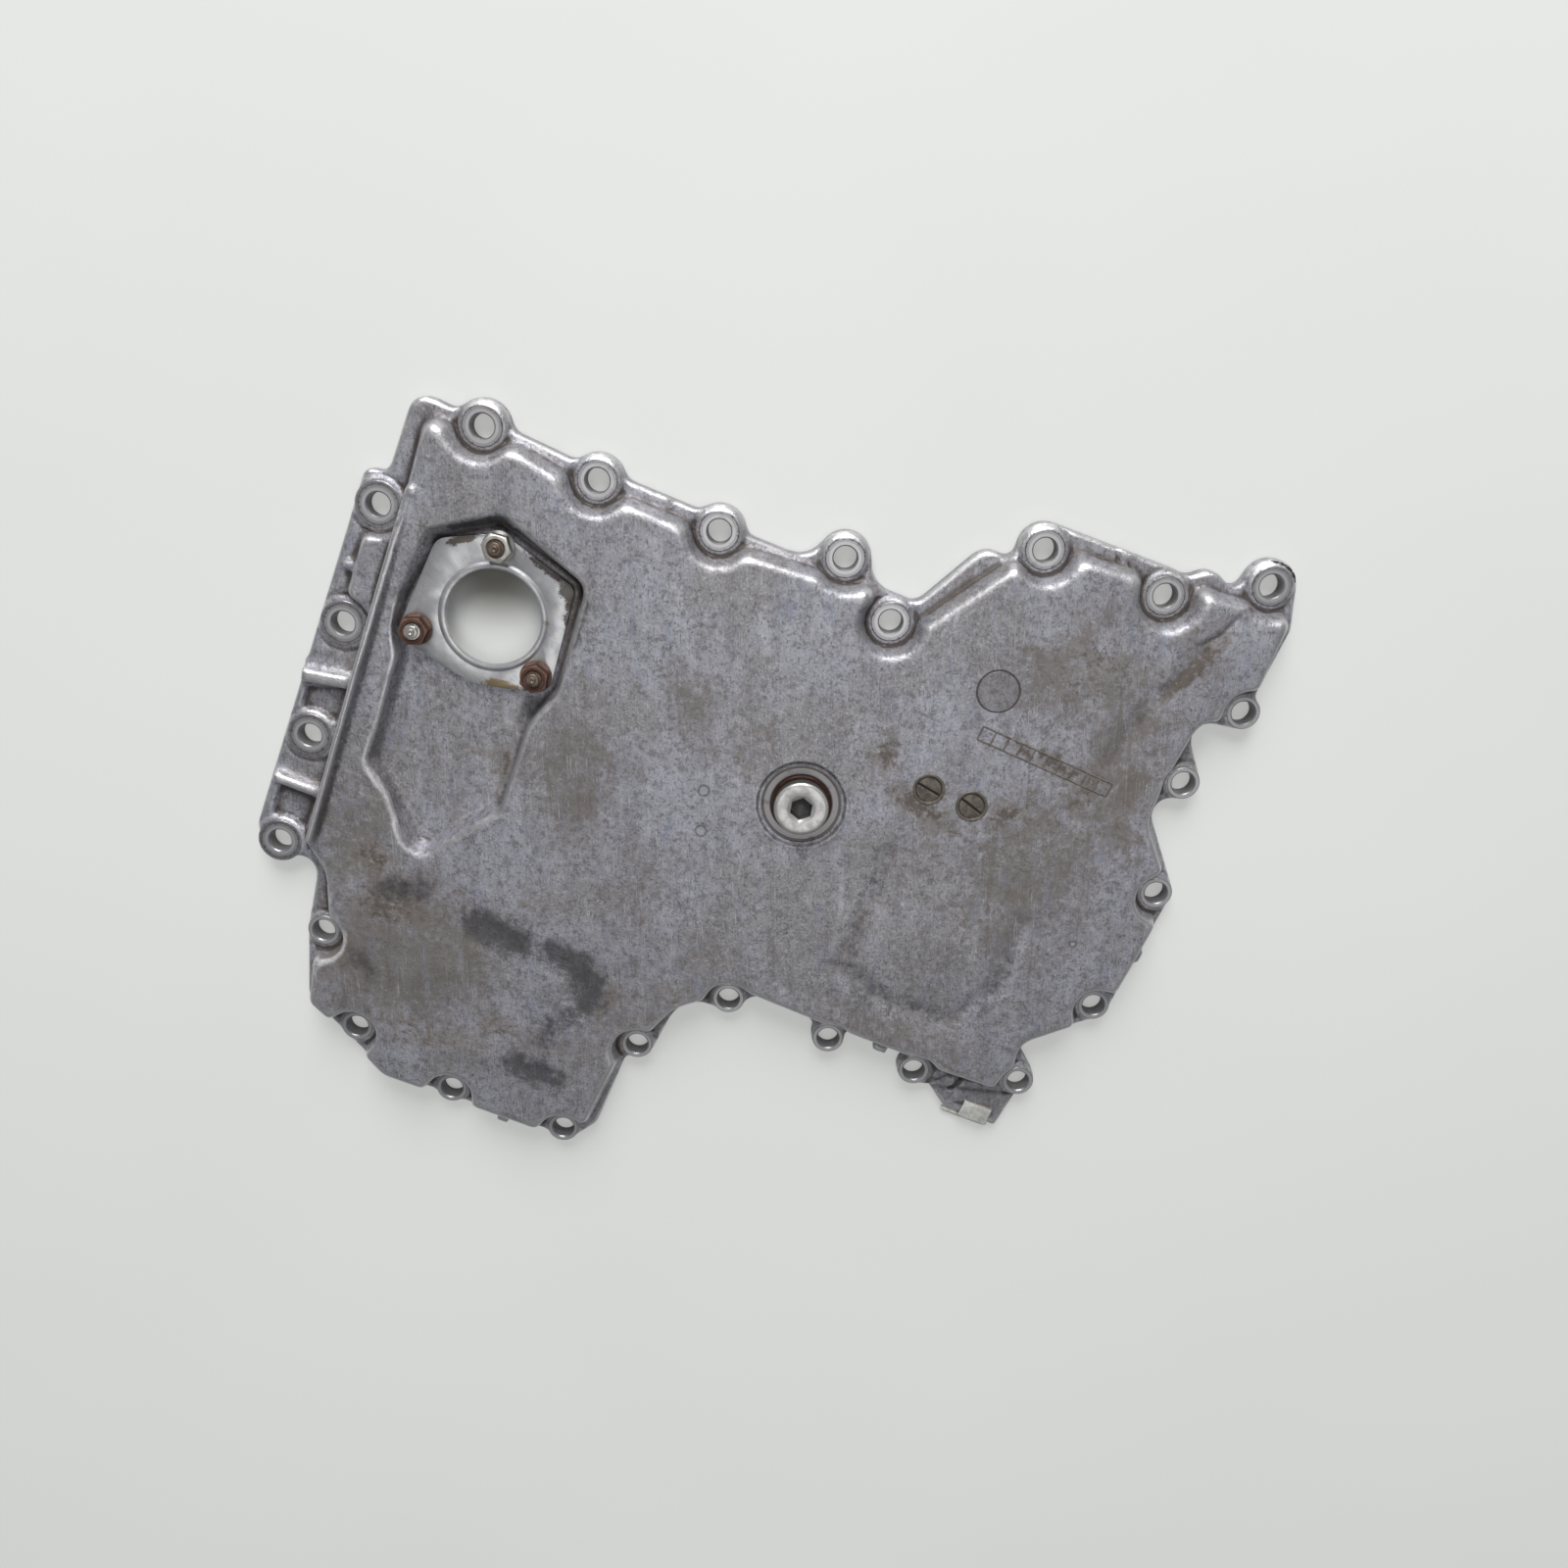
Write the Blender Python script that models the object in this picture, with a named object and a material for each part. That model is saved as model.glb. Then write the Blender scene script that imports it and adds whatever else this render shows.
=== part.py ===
"""A die-cast aluminium oil pan with its level-sensor plate, drain plug and spring clip.

The pan lies on its gasket face, outer face up. Plan sizes are in millimetres in the part's
own frame; the last step of each mesh is in metres.
"""
import math

import bmesh
import bpy
from mathutils import Vector

MM = 0.001

# Casting, heights above the gasket face
LAND_HEIGHT = 6.4
SEAT_HEIGHT = 7.2
PAN_HEIGHT = 15.0
WALL = 3.5
EDGE_ROUND = 1.6

# Bolts
HOLE_DIAMETER = 9.0
OPEN_LUG = 10.2
TIGHT_LUG = 7.2
OPEN_SEAT = 7.6
TIGHT_SEAT = 6.6
STRIP_SEAT = 8.8
OPEN_SCALLOP = 9.7
TIGHT_SCALLOP = 8.8
STRIP_SCALLOP = 10.4
OPEN_SLOPE = 4.7
TIGHT_SLOPE = 2.3
WEB_SLOPE = 2.8
MARGIN = 2.0

# Sensor pocket
POCKET_FLOOR = 7.5
POCKET_SLOPE = 1.2
POCKET_RAMP = 4.2
SENSOR_CENTRE = (-115.5, 38.5)
SENSOR_HOLE = 36.5
SENSOR_HOLE_CLEARANCE = 1.5

# Sensor plate, its seal, studs and nuts
SEAL_THICKNESS = 0.8
PLATE_THICKNESS = 1.5
LIP_WIDTH = 2.0
LIP_HEIGHT = 0.7
PLATE_RIM = 9.0
STUD_DIAMETER = 6.0
STUD_ABOVE_NUT = 2.2
NUT_FLANGE = 12.4
NUT_FLANGE_HEIGHT = 1.6
NUT_ACROSS_FLATS = 10.0
NUT_HEIGHT = 6.0
CLEARANCE = 0.3
BORE_CLEARANCE = 0.4

# Each stud's angle round the sensor hole in degrees, and how far its nut stands off the lip
STUD_PLACES = ((104.0, 0.0), (211.1, 3.3), (-34.5, 0.6))

# Drain plug
PLUG_CENTRE = (20.9, 15.7)
PLUG_RING = 18.0
PLUG_FACE = 15.7
PLUG_FACE_DEPTH = 1.0
PLUG_BOSS = 14.0
PLUG_BOSS_HEIGHT = 8.0
PLUG_HEAD = 21.6
PLUG_HEAD_HEIGHT = 5.5
PLUG_THREAD = 12.0
PLUG_THREAD_LENGTH = 12.0
PLUG_SOCKET = 8.0
PLUG_SOCKET_DEPTH = 4.5
PLUG_BEVEL = 0.8
WASHER_DIAMETER = 24.0
WASHER_THICKNESS = 1.5

# Fin and ribs of the left strip
FIN_TOP_END = (-158.0, 73.0)
FIN_FULL = (-155.9, 5.0)
FIN_LOW_END = (-153.6, -73.5)
FIN_HEIGHT = 5.0
FIN_BASE = 3.8
FIN_TOP = 2.4
FIN_KNOB = 2.3
BLOCK_HEIGHT = 5.6
RIB_HEIGHT = 4.0
RECESS_FLOOR = 4.2
NUB_HEIGHT = 2.4

# Bracket and clip
BRACKET_THICKNESS = 4.0
CLIP_THICKNESS = 0.8
CLIP_WIDTH = 13.0
CLIP_CENTRE_X = 147.0
BRACKET_EDGE_Y = -92.4
CLIP_REACH = 6.5

FINE = math.radians(24)
COARSE = math.radians(32)
ROUND_SIDES = 32
SEAT_SIDES = 18
HOLE_SIDES = 14


def beside(centre, reach, degrees):
    angle = math.radians(degrees)
    return centre[0] + reach * math.cos(angle), centre[1] + reach * math.sin(angle)


LIP_REACH = SENSOR_HOLE / 2 + LIP_WIDTH
STUDS = [beside(SENSOR_CENTRE, LIP_REACH + CLEARANCE + NUT_FLANGE / 2 + off, degrees)
         for degrees, off in STUD_PLACES]


class Bolt:
    """One bolt boss: where it is, how its lug and scallop look, and where its wall lobes stand.

    Each lobe is (the angle in degrees that it stands at, its radius).
    """

    def __init__(self, x, y, style, lobe_in=None, lobe_out=None):
        self.x = x
        self.y = y
        self.lobe_in = lobe_in
        self.lobe_out = lobe_out
        self.lug = {"open": OPEN_LUG, "tight": TIGHT_LUG, "strip": TIGHT_LUG}[style]
        self.seat = {"open": OPEN_SEAT, "tight": TIGHT_SEAT, "strip": STRIP_SEAT}[style]
        self.scallop = {"open": OPEN_SCALLOP, "tight": TIGHT_SCALLOP, "strip": STRIP_SCALLOP}[style]
        self.slope = {"open": OPEN_SLOPE, "tight": TIGHT_SLOPE, "strip": TIGHT_SLOPE}[style]
        self.lobe_slope = OPEN_SLOPE if style == "open" else WEB_SLOPE

    def boss(self):
        return (self.x, self.y, self.lug)

    def dent(self):
        return (self.x, self.y, -self.scallop, self.slope)

    def lobe_at(self, lobe):
        degrees, radius = lobe
        return (*beside((self.x, self.y), self.scallop + radius, degrees), radius, self.lobe_slope)

    def corner_at(self, degrees, radius):
        """A rounded corner that touches the scallop's circle from outside."""
        return (*beside((self.x, self.y), self.scallop + radius, degrees), radius)

    def wall(self):
        """The wall's circles here: a rounded lobe, the scallop round the bolt, a rounded lobe."""
        circles = [self.dent()]
        if self.lobe_in is not None:
            circles.insert(0, self.lobe_at(self.lobe_in))
        if self.lobe_out is not None:
            circles.append(self.lobe_at(self.lobe_out))
        return circles


# Keyed by the number that the bolt has in the report
BOLTS = {
    1: Bolt(-142.0, 103.0, "open", lobe_in=(-31, 9.0)),
    2: Bolt(-96.5, 101.0, "open", (-31, 9.0), (211, 9.0)),
    3: Bolt(-48.0, 101.0, "open", (-31, 9.0), (211, 9.0)),
    4: Bolt(-0.5, 110.0, "open", lobe_out=(240, 6.0)),
    5: Bolt(25.0, 94.5, "open", (12, 5.0), (160, 5.0)),
    6: Bolt(67.5, 141.5, "open", (-8, 7.0), (238, 5.0)),
    7: Bolt(117.0, 143.5, "open", (16, 5.0), (188, 7.0)),
    8: Bolt(152.5, 162.0, "open", (-58, 5.4), (242, 5.0)),
    9: Bolt(166.5, 114.5, "tight", (200, 4.0), (109, 4.0)),
    10: Bolt(158.5, 80.0, "tight", (205, 4.0), (155, 4.0)),
    11: Bolt(170.5, 34.0, "tight", (274.5, 4.0), (126.5, 4.0)),
    12: Bolt(170.0, -21.5, "tight", (225, 4.0), (85.5, 4.0)),
    13: Bolt(156.5, -66.5, "tight", (188, 4.0), (140, 4.0)),
    14: Bolt(113.0, -79.0, "tight", (120, 4.0), (50, 4.0)),
    15: Bolt(73.0, -79.0, "tight", (120, 4.0), (60, 4.0)),
    16: Bolt(27.0, -78.0, "tight", (182, 4.0), (60, 4.0)),
    17: Bolt(-1.0, -113.0, "tight", (-130, 4.0), (88, 4.0)),
    18: Bolt(-16.5, -164.0, "tight", (173.7, 4.0), (65, 4.0)),
    19: Bolt(-67.5, -164.0, "tight", (173.7, 4.0), (6.3, 4.0)),
    20: Bolt(-114.0, -151.0, "tight", (155.3, 4.0), (-33.7, 4.0)),
    21: Bolt(-139.5, -113.5, "tight", (75, 4.0), (-73, 4.0)),
    22: Bolt(-167.0, -82.0, "strip"),
    23: Bolt(-168.0, -34.5, "strip"),
    24: Bolt(-168.5, 13.5, "strip"),
    25: Bolt(-169.0, 61.5, "strip", lobe_in=(30, 4.0)),
}


def turn_between(before, after, convex):
    """The angle that a path turns by round a circle, left for a convex one."""
    turn = after - before if convex else before - after
    slack = math.radians(60)
    turn = (turn + slack) % math.tau - slack
    return turn if convex else -turn


def tangent_angles(circles):
    """The direction of the straight run from each circle to the next, circles as (x, y, radius)."""
    angles = []
    for index, (x, y, radius) in enumerate(circles):
        next_x, next_y, next_radius = circles[(index + 1) % len(circles)]
        distance = math.hypot(next_x - x, next_y - y)
        slant = max(-1.0, min(1.0, (next_radius - radius) / distance))
        angles.append(math.atan2(next_y - y, next_x - x) - math.asin(slant))
    return angles


def belt(pulleys, inset=0.0, step=FINE):
    """A closed path, run like a belt round circles (x, y, radius, slope), anticlockwise.

    A circle with a negative radius is passed on its other side and gives a hollow. An inset of 1
    moves the path inwards by each circle's slope. Every inset gives the same number of points.
    """
    least = 0.35

    def circles_at(amount):
        circles = []
        for x, y, radius, slope in pulleys:
            shrunk = radius - amount * slope
            circles.append((x, y, max(shrunk, least) if radius > 0 else shrunk))
        return circles

    plain = circles_at(0.0)
    plain_angles = tangent_angles(plain)
    circles = circles_at(inset)
    angles = tangent_angles(circles)
    points = []
    for index, (x, y, radius) in enumerate(circles):
        convex = radius > 0
        plain_turn = turn_between(plain_angles[index - 1], plain_angles[index], convex)
        steps = max(1, math.ceil(abs(plain_turn) / step - 0.001))
        turn = turn_between(angles[index - 1], angles[index], convex)
        for place in range(steps + 1):
            angle = angles[index - 1] + turn * place / steps
            points.append((x + radius * math.sin(angle), y - radius * math.cos(angle)))
    return points


def with_slope(circles, slope=1.0):
    return [circle if len(circle) == 4 else (*circle, slope) for circle in circles]


def edge_fillet(boss, along, outward, offset, radius):
    """The hollow circle between a round boss and a straight edge that runs off from it."""
    x, y, lug = boss
    out = offset + radius
    run = math.sqrt(max((lug + radius) ** 2 - out ** 2, 0.0))
    centre = Vector((x, y)) + Vector(along) * run + Vector(outward) * out
    return (centre.x, centre.y, -radius)


def web(first, second, offset, radius):
    """The two hollow circles of a straight web between two lugs, offset outwards from their centres."""
    along = (Vector(second[:2]) - Vector(first[:2])).normalized()
    outward = Vector((along.y, -along.x))
    return [edge_fillet(first, along, outward, offset, radius),
            edge_fillet(second, -along, outward, offset, radius)]


def tuck(first, second, radius):
    """The hollow circle that touches two round bosses on their outer side."""
    start = Vector(first[:2])
    across = Vector(second[:2]) - start
    distance = across.length
    along = across / distance
    outward = Vector((along.y, -along.x))
    reach_first = first[2] + radius
    reach_second = second[2] + radius
    run = (reach_first ** 2 - reach_second ** 2 + distance ** 2) / (2 * distance)
    out = math.sqrt(max(reach_first ** 2 - run ** 2, 0.0))
    centre = start + along * run + outward * out
    return (centre.x, centre.y, -radius)


def touching(boss, radius, degrees):
    """The hollow circle that touches a round boss at one place."""
    return (*beside(boss, boss[2] + radius, degrees), -radius)


def outline():
    """The flange's outline: lugs, corners and the hollows between them."""
    boss = {number: bolt.boss() for number, bolt in BOLTS.items()}
    neck_corner = (-162.5, 98.5, 7.0)
    strip_corner = (-174.6, 69.5, 3.5)
    low_corner = (-171.1, -77.5, 7.0)
    toe = (-131.8, -141.8, 6.8)
    heel = (-94.0, -157.0, 11.7)
    step_corner = (-9.5, -155.5, 6.0)
    shoulder = (51.5, 125.5, 8.3)
    hump = (131.0, 150.7, 8.0)
    ear = (165.4, 149.3, 3.0)
    left, right, down = (-1.0, 0.0), (1.0, 0.0), (0.0, -1.0)
    path = [strip_corner, low_corner, boss[22], (-156.5, -93.2, -7.0), boss[21], toe, heel]
    path += [edge_fillet(boss[19], left, down, 4.6, 3.0), boss[19], *web(boss[19], boss[18], 5.0, 3.0)]
    path += [boss[18], step_corner, edge_fillet(boss[17], down, right, -2.3, 3.0), boss[17]]
    path += [(21.0, -98.0, -13.4), boss[16], *web(boss[16], boss[15], -5.0, 6.0), boss[15]]
    path += [*web(boss[15], boss[14], -6.2, 2.5), boss[14], boss[13], (156.8, -50.3, -5.5)]
    path += [boss[12], boss[11]]
    path += [(160.6, 65.7, -7.0), boss[10], (160.0, 99.3, -6.6), boss[9]]
    path += [edge_fillet(boss[9], (0.0, 1.0), right, 1.8, 3.0), ear, boss[8], tuck(boss[8], hump, 4.3)]
    path += [hump, tuck(hump, boss[7], 6.0), boss[7], boss[6], tuck(boss[6], shoulder, 4.0), shoulder]
    path += [touching(boss[5], 6.0, 80), boss[5], tuck(boss[5], boss[4], 12.0), boss[4]]
    path += [touching(boss[4], 11.0, 167), edge_fillet(boss[3], right, (0.0, 1.0), 2.6, 4.0), boss[3]]
    path += [*web(boss[3], boss[2], 4.2, 5.0), boss[2], *web(boss[2], boss[1], 3.0, 5.0), boss[1]]
    path += [edge_fillet(boss[1], left, (0.0, 1.0), 2.0, 6.0), neck_corner, (-173.6, 77.2, -4.0)]
    return with_slope(path)


def pan_wall():
    """The foot of the raised pan's wall, which dips round every bolt."""
    circles = []
    for number in (21, 20, 19, 18, 17):
        circles += BOLTS[number].wall()
        if number == 21:
            circles.append((-131.8, -141.8, 6.8 - MARGIN, WEB_SLOPE))
        if number == 20:
            circles.append((-94.0, -157.0, 11.7 - MARGIN, WEB_SLOPE))
    circles.append((21.0, -98.0, -13.4 - MARGIN, WEB_SLOPE))
    for number in (16, 15, 14, 13):
        circles += BOLTS[number].wall()
    circles.append((156.8, -50.3, -5.5 - MARGIN, WEB_SLOPE))
    circles += BOLTS[12].wall() + BOLTS[11].wall()
    circles.append((160.6, 65.7, -7.0 - MARGIN, WEB_SLOPE))
    circles += BOLTS[10].wall()
    circles.append((160.0, 99.3, -6.6 - MARGIN, WEB_SLOPE))
    for number in (9, 8, 7, 6, 5, 4, 3, 2, 1):
        circles += BOLTS[number].wall()
    circles.append((-155.9, 94.1, 6.4, OPEN_SLOPE))
    circles += BOLTS[25].wall()
    circles.append((-153.2, -74.0, 4.0, TIGHT_SLOPE))
    circles.append((-156.5, -93.2, -12.5, WEB_SLOPE))
    return circles


def pocket_wall():
    """The sensor pocket at the pan's face, with the lobe for the connector below it.

    The wall is a ramp at the upper left and at the lobe's end, hugs the left nut, and is steep elsewhere.
    """
    (top_x, top_y), (left_x, left_y), (right_x, right_y) = STUDS
    corners = [(left_x + 0.2, top_y - 8.0, 8.2, POCKET_RAMP), (left_x - 4.6, left_y + 11.0, 5.0, 2.0),
               (left_x, left_y, 8.3, 0.8), (left_x - 11.3, left_y - 14.5, -8.5, 2.2),
               (-138.4, -31.0, 4.5, 2.4), (-139.8, -51.2, -12.0, 1.5), (-113.5, -54.8, 8.0, POCKET_RAMP),
               (-90.6, -52.9, -10.6, POCKET_RAMP), (-92.0, -31.0, 4.0),
               (right_x + 13.9, right_y - 19.0, -10.0), (right_x + 4.9, right_y - 1.2, 5.0),
               (right_x + 0.7, top_y - 5.2, 6.2), (top_x - 1.5, top_y + 4.5, 7.2, POCKET_RAMP)]
    return with_slope(corners, POCKET_SLOPE)


def metres(points):
    return [(x * MM, y * MM) for x, y in points]


def closed_mesh(name, loops):
    """A closed solid from loops of points, bottom to top, with flat ends."""
    mesh_tools = bmesh.new()
    rings = [[mesh_tools.verts.new(point) for point in loop] for loop in loops]
    for lower, upper in zip(rings, rings[1:]):
        for index in range(len(lower)):
            after = (index + 1) % len(lower)
            mesh_tools.faces.new((lower[index], lower[after], upper[after], upper[index]))
    mesh_tools.faces.new(list(reversed(rings[0])))
    mesh_tools.faces.new(rings[-1])
    bmesh.ops.remove_doubles(mesh_tools, verts=mesh_tools.verts, dist=0.00002)
    mesh = bpy.data.meshes.new(name)
    mesh_tools.to_mesh(mesh)
    mesh_tools.free()
    obj = bpy.data.objects.new(name, mesh)
    bpy.context.collection.objects.link(obj)
    return obj


def loft(name, pulleys, levels, step=FINE):
    """A closed solid through one belt at several (height, inset) levels."""
    loops = []
    for height, inset in levels:
        loops.append([(x, y, height * MM) for x, y in metres(belt(pulleys, inset, step))])
    return closed_mesh(name, loops)


def ring_points(centre, radius, sides, turn=0.0):
    angles = [math.tau * index / sides + turn for index in range(sides)]
    return [(centre[0] + radius * math.cos(angle), centre[1] + radius * math.sin(angle)) for angle in angles]


def turned(name, centre, profile, sides=ROUND_SIDES, turn=0.0):
    """A round or many-sided solid through (height, radius) levels round a vertical axis."""
    loops = []
    for height, radius in profile:
        loops.append([(x, y, height * MM) for x, y in metres(ring_points(centre, radius, sides, turn))])
    return closed_mesh(name, loops)


def turned_ring(name, centre, section, sides=ROUND_SIDES):
    """A ring from a closed section of (height, radius) corners, spun round a vertical axis."""
    mesh_tools = bmesh.new()
    rings = []
    for height, radius in section:
        corner = [(x, y, height * MM) for x, y in metres(ring_points(centre, radius, sides))]
        rings.append([mesh_tools.verts.new(point) for point in corner])
    for index, ring in enumerate(rings):
        following = rings[(index + 1) % len(rings)]
        for place in range(sides):
            after = (place + 1) % sides
            mesh_tools.faces.new((ring[place], ring[after], following[after], following[place]))
    bmesh.ops.recalc_face_normals(mesh_tools, faces=mesh_tools.faces)
    mesh = bpy.data.meshes.new(name)
    mesh_tools.to_mesh(mesh)
    mesh_tools.free()
    obj = bpy.data.objects.new(name, mesh)
    bpy.context.collection.objects.link(obj)
    return obj


def prism(name, corners, depth_axis, start, end):
    """A straight bar from a section: corners are (across, height), run along the given plan direction."""
    along = Vector((*depth_axis, 0.0)).normalized()
    across = Vector((-along.y, along.x, 0.0))
    loops = []
    for place in (start, end):
        origin = Vector((*place, 0.0))
        loops.append([(origin + across * side + Vector((0, 0, height))) * MM for side, height in corners])
    obj = closed_mesh(name, loops)
    face_outwards(obj)
    return obj


def face_outwards(obj):
    mesh_tools = bmesh.new()
    mesh_tools.from_mesh(obj.data)
    bmesh.ops.recalc_face_normals(mesh_tools, faces=mesh_tools.faces)
    mesh_tools.to_mesh(obj.data)
    mesh_tools.free()


def joined(name, objects):
    """One object that holds several separate solids."""
    mesh_tools = bmesh.new()
    for obj in objects:
        mesh_tools.from_mesh(obj.data)
    mesh = bpy.data.meshes.new(name)
    mesh_tools.to_mesh(mesh)
    mesh_tools.free()
    for obj in objects:
        bpy.data.objects.remove(obj)
    result = bpy.data.objects.new(name, mesh)
    bpy.context.collection.objects.link(result)
    return result


def boolean(target, tool, operation):
    """Adds or cuts a helper solid, which stays in the file as a hidden wireframe."""
    modifier = target.modifiers.new(tool.name, "BOOLEAN")
    modifier.operation = operation
    modifier.solver = "EXACT"
    modifier.object = tool
    tool.hide_render = True
    tool.hide_viewport = False
    tool.display_type = "WIRE"


def finish(obj, colour, roughness, metallic):
    material = bpy.data.materials.new(obj.name)
    material.use_nodes = True
    shader = material.node_tree.nodes["Principled BSDF"]
    shader.inputs["Base Color"].default_value = (*colour, 1.0)
    shader.inputs["Roughness"].default_value = roughness
    shader.inputs["Metallic"].default_value = metallic
    material.diffuse_color = (*colour, 1.0)
    obj.data.materials.clear()
    obj.data.materials.append(material)


def wall_levels(foot, top, below):
    """The S-shaped wall of the raised pan: a fillet at its foot and a broad round shoulder."""
    rise = top - foot
    shape = ((0.0, 0.0), (0.55, 0.28), (0.88, 0.6), (1.0, 1.0))
    return [(below, 0.0)] + [(foot + rise * up, inward) for up, inward in shape]


def strip_forms():
    """The block, nub, ribs and fin on the strip beside the engine mount face."""
    low = LAND_HEIGHT - 2.0
    top = LAND_HEIGHT + BLOCK_HEIGHT
    block_circles = [(-150.0, 12.0, 1.5), (-150.0, 63.0, 1.5), BOLTS[25].dent()[:3],
                     BOLTS[25].corner_at(-82, 4.0), BOLTS[24].corner_at(82, 4.0), BOLTS[24].dent()[:3]]
    block_levels = [(low, 0.0), (LAND_HEIGHT, 0.0), (top - 1.2, 0.5), (top, 1.0)]
    block = loft("strip_block_form", with_slope(block_circles, TIGHT_SLOPE), block_levels)
    nub_top = LAND_HEIGHT + NUB_HEIGHT
    nub_circles = with_slope([(-173.0, 36.0, 2.3), (-165.0, 36.0, 2.3)], 1.5)
    nub_levels = [(low, 0.0), (LAND_HEIGHT, 0.0), (nub_top - 0.6, 0.4), (nub_top, 1.0)]
    nub = loft("strip_nub_form", nub_circles, nub_levels)
    rib_low = RECESS_FLOOR - 1.0
    crest = LAND_HEIGHT + RIB_HEIGHT

    def rib(name, start, end, width):
        section = [(-width, rib_low), (4.6, rib_low), (4.6, LAND_HEIGHT - 0.1), (2.0, LAND_HEIGHT + 0.8),
                   (0.4, crest - 0.5), (-0.3, crest), (-width, crest - 0.3)]
        return prism(name, section, Vector(end) - Vector(start), start, end)

    upper_rib = rib("upper_rib_form", (-177.7, -9.8), (-155.0, -5.2), 4.3)
    lower_rib = rib("lower_rib_form", (-176.6, -54.6), (-155.0, -54.6), 3.0)
    return block, nub, upper_rib, lower_rib


def fin_form():
    """The long fin: flush with the pan at its top end, full height from the middle down."""
    base = LAND_HEIGHT + 1.0
    stations = [(FIN_TOP_END, PAN_HEIGHT + 0.3), (FIN_FULL, PAN_HEIGHT + FIN_HEIGHT),
                (FIN_LOW_END, PAN_HEIGHT + FIN_HEIGHT)]
    loops = []
    for (x, y), top in stations:
        section = [(-FIN_BASE / 2, base), (FIN_BASE / 2, base), (FIN_BASE / 2, PAN_HEIGHT - 0.5),
                   (FIN_TOP / 2, top - 0.3), (FIN_TOP / 2 - 0.4, top), (0.4 - FIN_TOP / 2, top),
                   (-FIN_TOP / 2, top - 0.3), (-FIN_BASE / 2, PAN_HEIGHT - 0.5)]
        loops.append([Vector((x + side, y, height)) * MM for side, height in section])
    fin = closed_mesh("fin_form", loops)
    face_outwards(fin)
    return fin


def strip_cuts():
    """The two sunk pockets below the ribs, each bounded by the boss under it."""
    cuts = []
    for name, number, top_left, top_right in (("upper_recess_cut", 23, (-173.4, -17.0), (-160.6, -12.0)),
                                              ("lower_recess_cut", 22, (-172.6, -60.4), (-160.0, -60.4))):
        bolt = BOLTS[number]
        circles = [(*top_left, 1.5), bolt.corner_at(116, 1.5), bolt.dent()[:3], bolt.corner_at(53, 1.3),
                   (*top_right, 1.3)]
        levels = [(RECESS_FLOOR, 0.8), (LAND_HEIGHT + 0.2, 0.0), (LAND_HEIGHT + 2.5, 0.0)]
        cuts.append(loft(name, with_slope(circles), levels))
    return cuts


def rim_tabs():
    """Small square ejector tabs that stand out of the rim."""
    places = (("upper", -72.0, 101.0, 0.0, 5.0), ("right", 96.5, 148.6, 0.0, 6.0),
              ("low_left", -42.2, -168.0, 0.0, 5.2), ("low_middle", 95.8, -73.0, 0.0, 6.0),
              ("side", 174.4, 5.5, 1.0, 5.4))
    tabs = []
    for name, x, y, sideways, width in places:
        reach = 4.2
        half_x = reach if sideways else width / 2
        half_y = width / 2 if sideways else reach
        corners = metres([(x - half_x, y - half_y), (x + half_x, y - half_y),
                          (x + half_x, y + half_y), (x - half_x, y + half_y)])
        levels = (1.0 * MM, (LAND_HEIGHT + 0.5) * MM)
        loops = [[(corner_x, corner_y, height) for corner_x, corner_y in corners] for height in levels]
        tabs.append(closed_mesh(name + "_tab", loops))
    return tabs


def bracket_form():
    """The low ear between bolts 13 and 14 that carries the spring clip."""
    corners = [(114.0, -76.0, 1.0), (121.4, -82.2, 1.0), (134.0, BRACKET_EDGE_Y + 1.0, 1.0),
               (157.2, BRACKET_EDGE_Y + 1.0, 1.0), (159.0, -70.0, 1.0), (150.0, -62.0, 1.0),
               (120.0, -70.0, 1.0)]
    levels = [(0.0, 0.4), (0.4, 0.0), (BRACKET_THICKNESS - 0.5, 0.0), (BRACKET_THICKNESS, 0.5)]
    return loft("bracket_form", with_slope(corners), levels)


def clip_window():
    """The slot in the bracket that the clip's inner leg drops through."""
    half = CLIP_WIDTH / 2 + CLEARANCE
    top = BRACKET_EDGE_Y + CLIP_REACH + CLIP_THICKNESS + CLEARANCE
    low = top - CLIP_THICKNESS - 2 * CLEARANCE
    corners = metres([(CLIP_CENTRE_X - half, low), (CLIP_CENTRE_X + half, low),
                      (CLIP_CENTRE_X + half, top), (CLIP_CENTRE_X - half, top)])
    levels = (-1.0 * MM, (BRACKET_THICKNESS + 1.0) * MM)
    loops = [[(x, y, height) for x, y in corners] for height in levels]
    return closed_mesh("clip_window_cut", loops)


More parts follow.
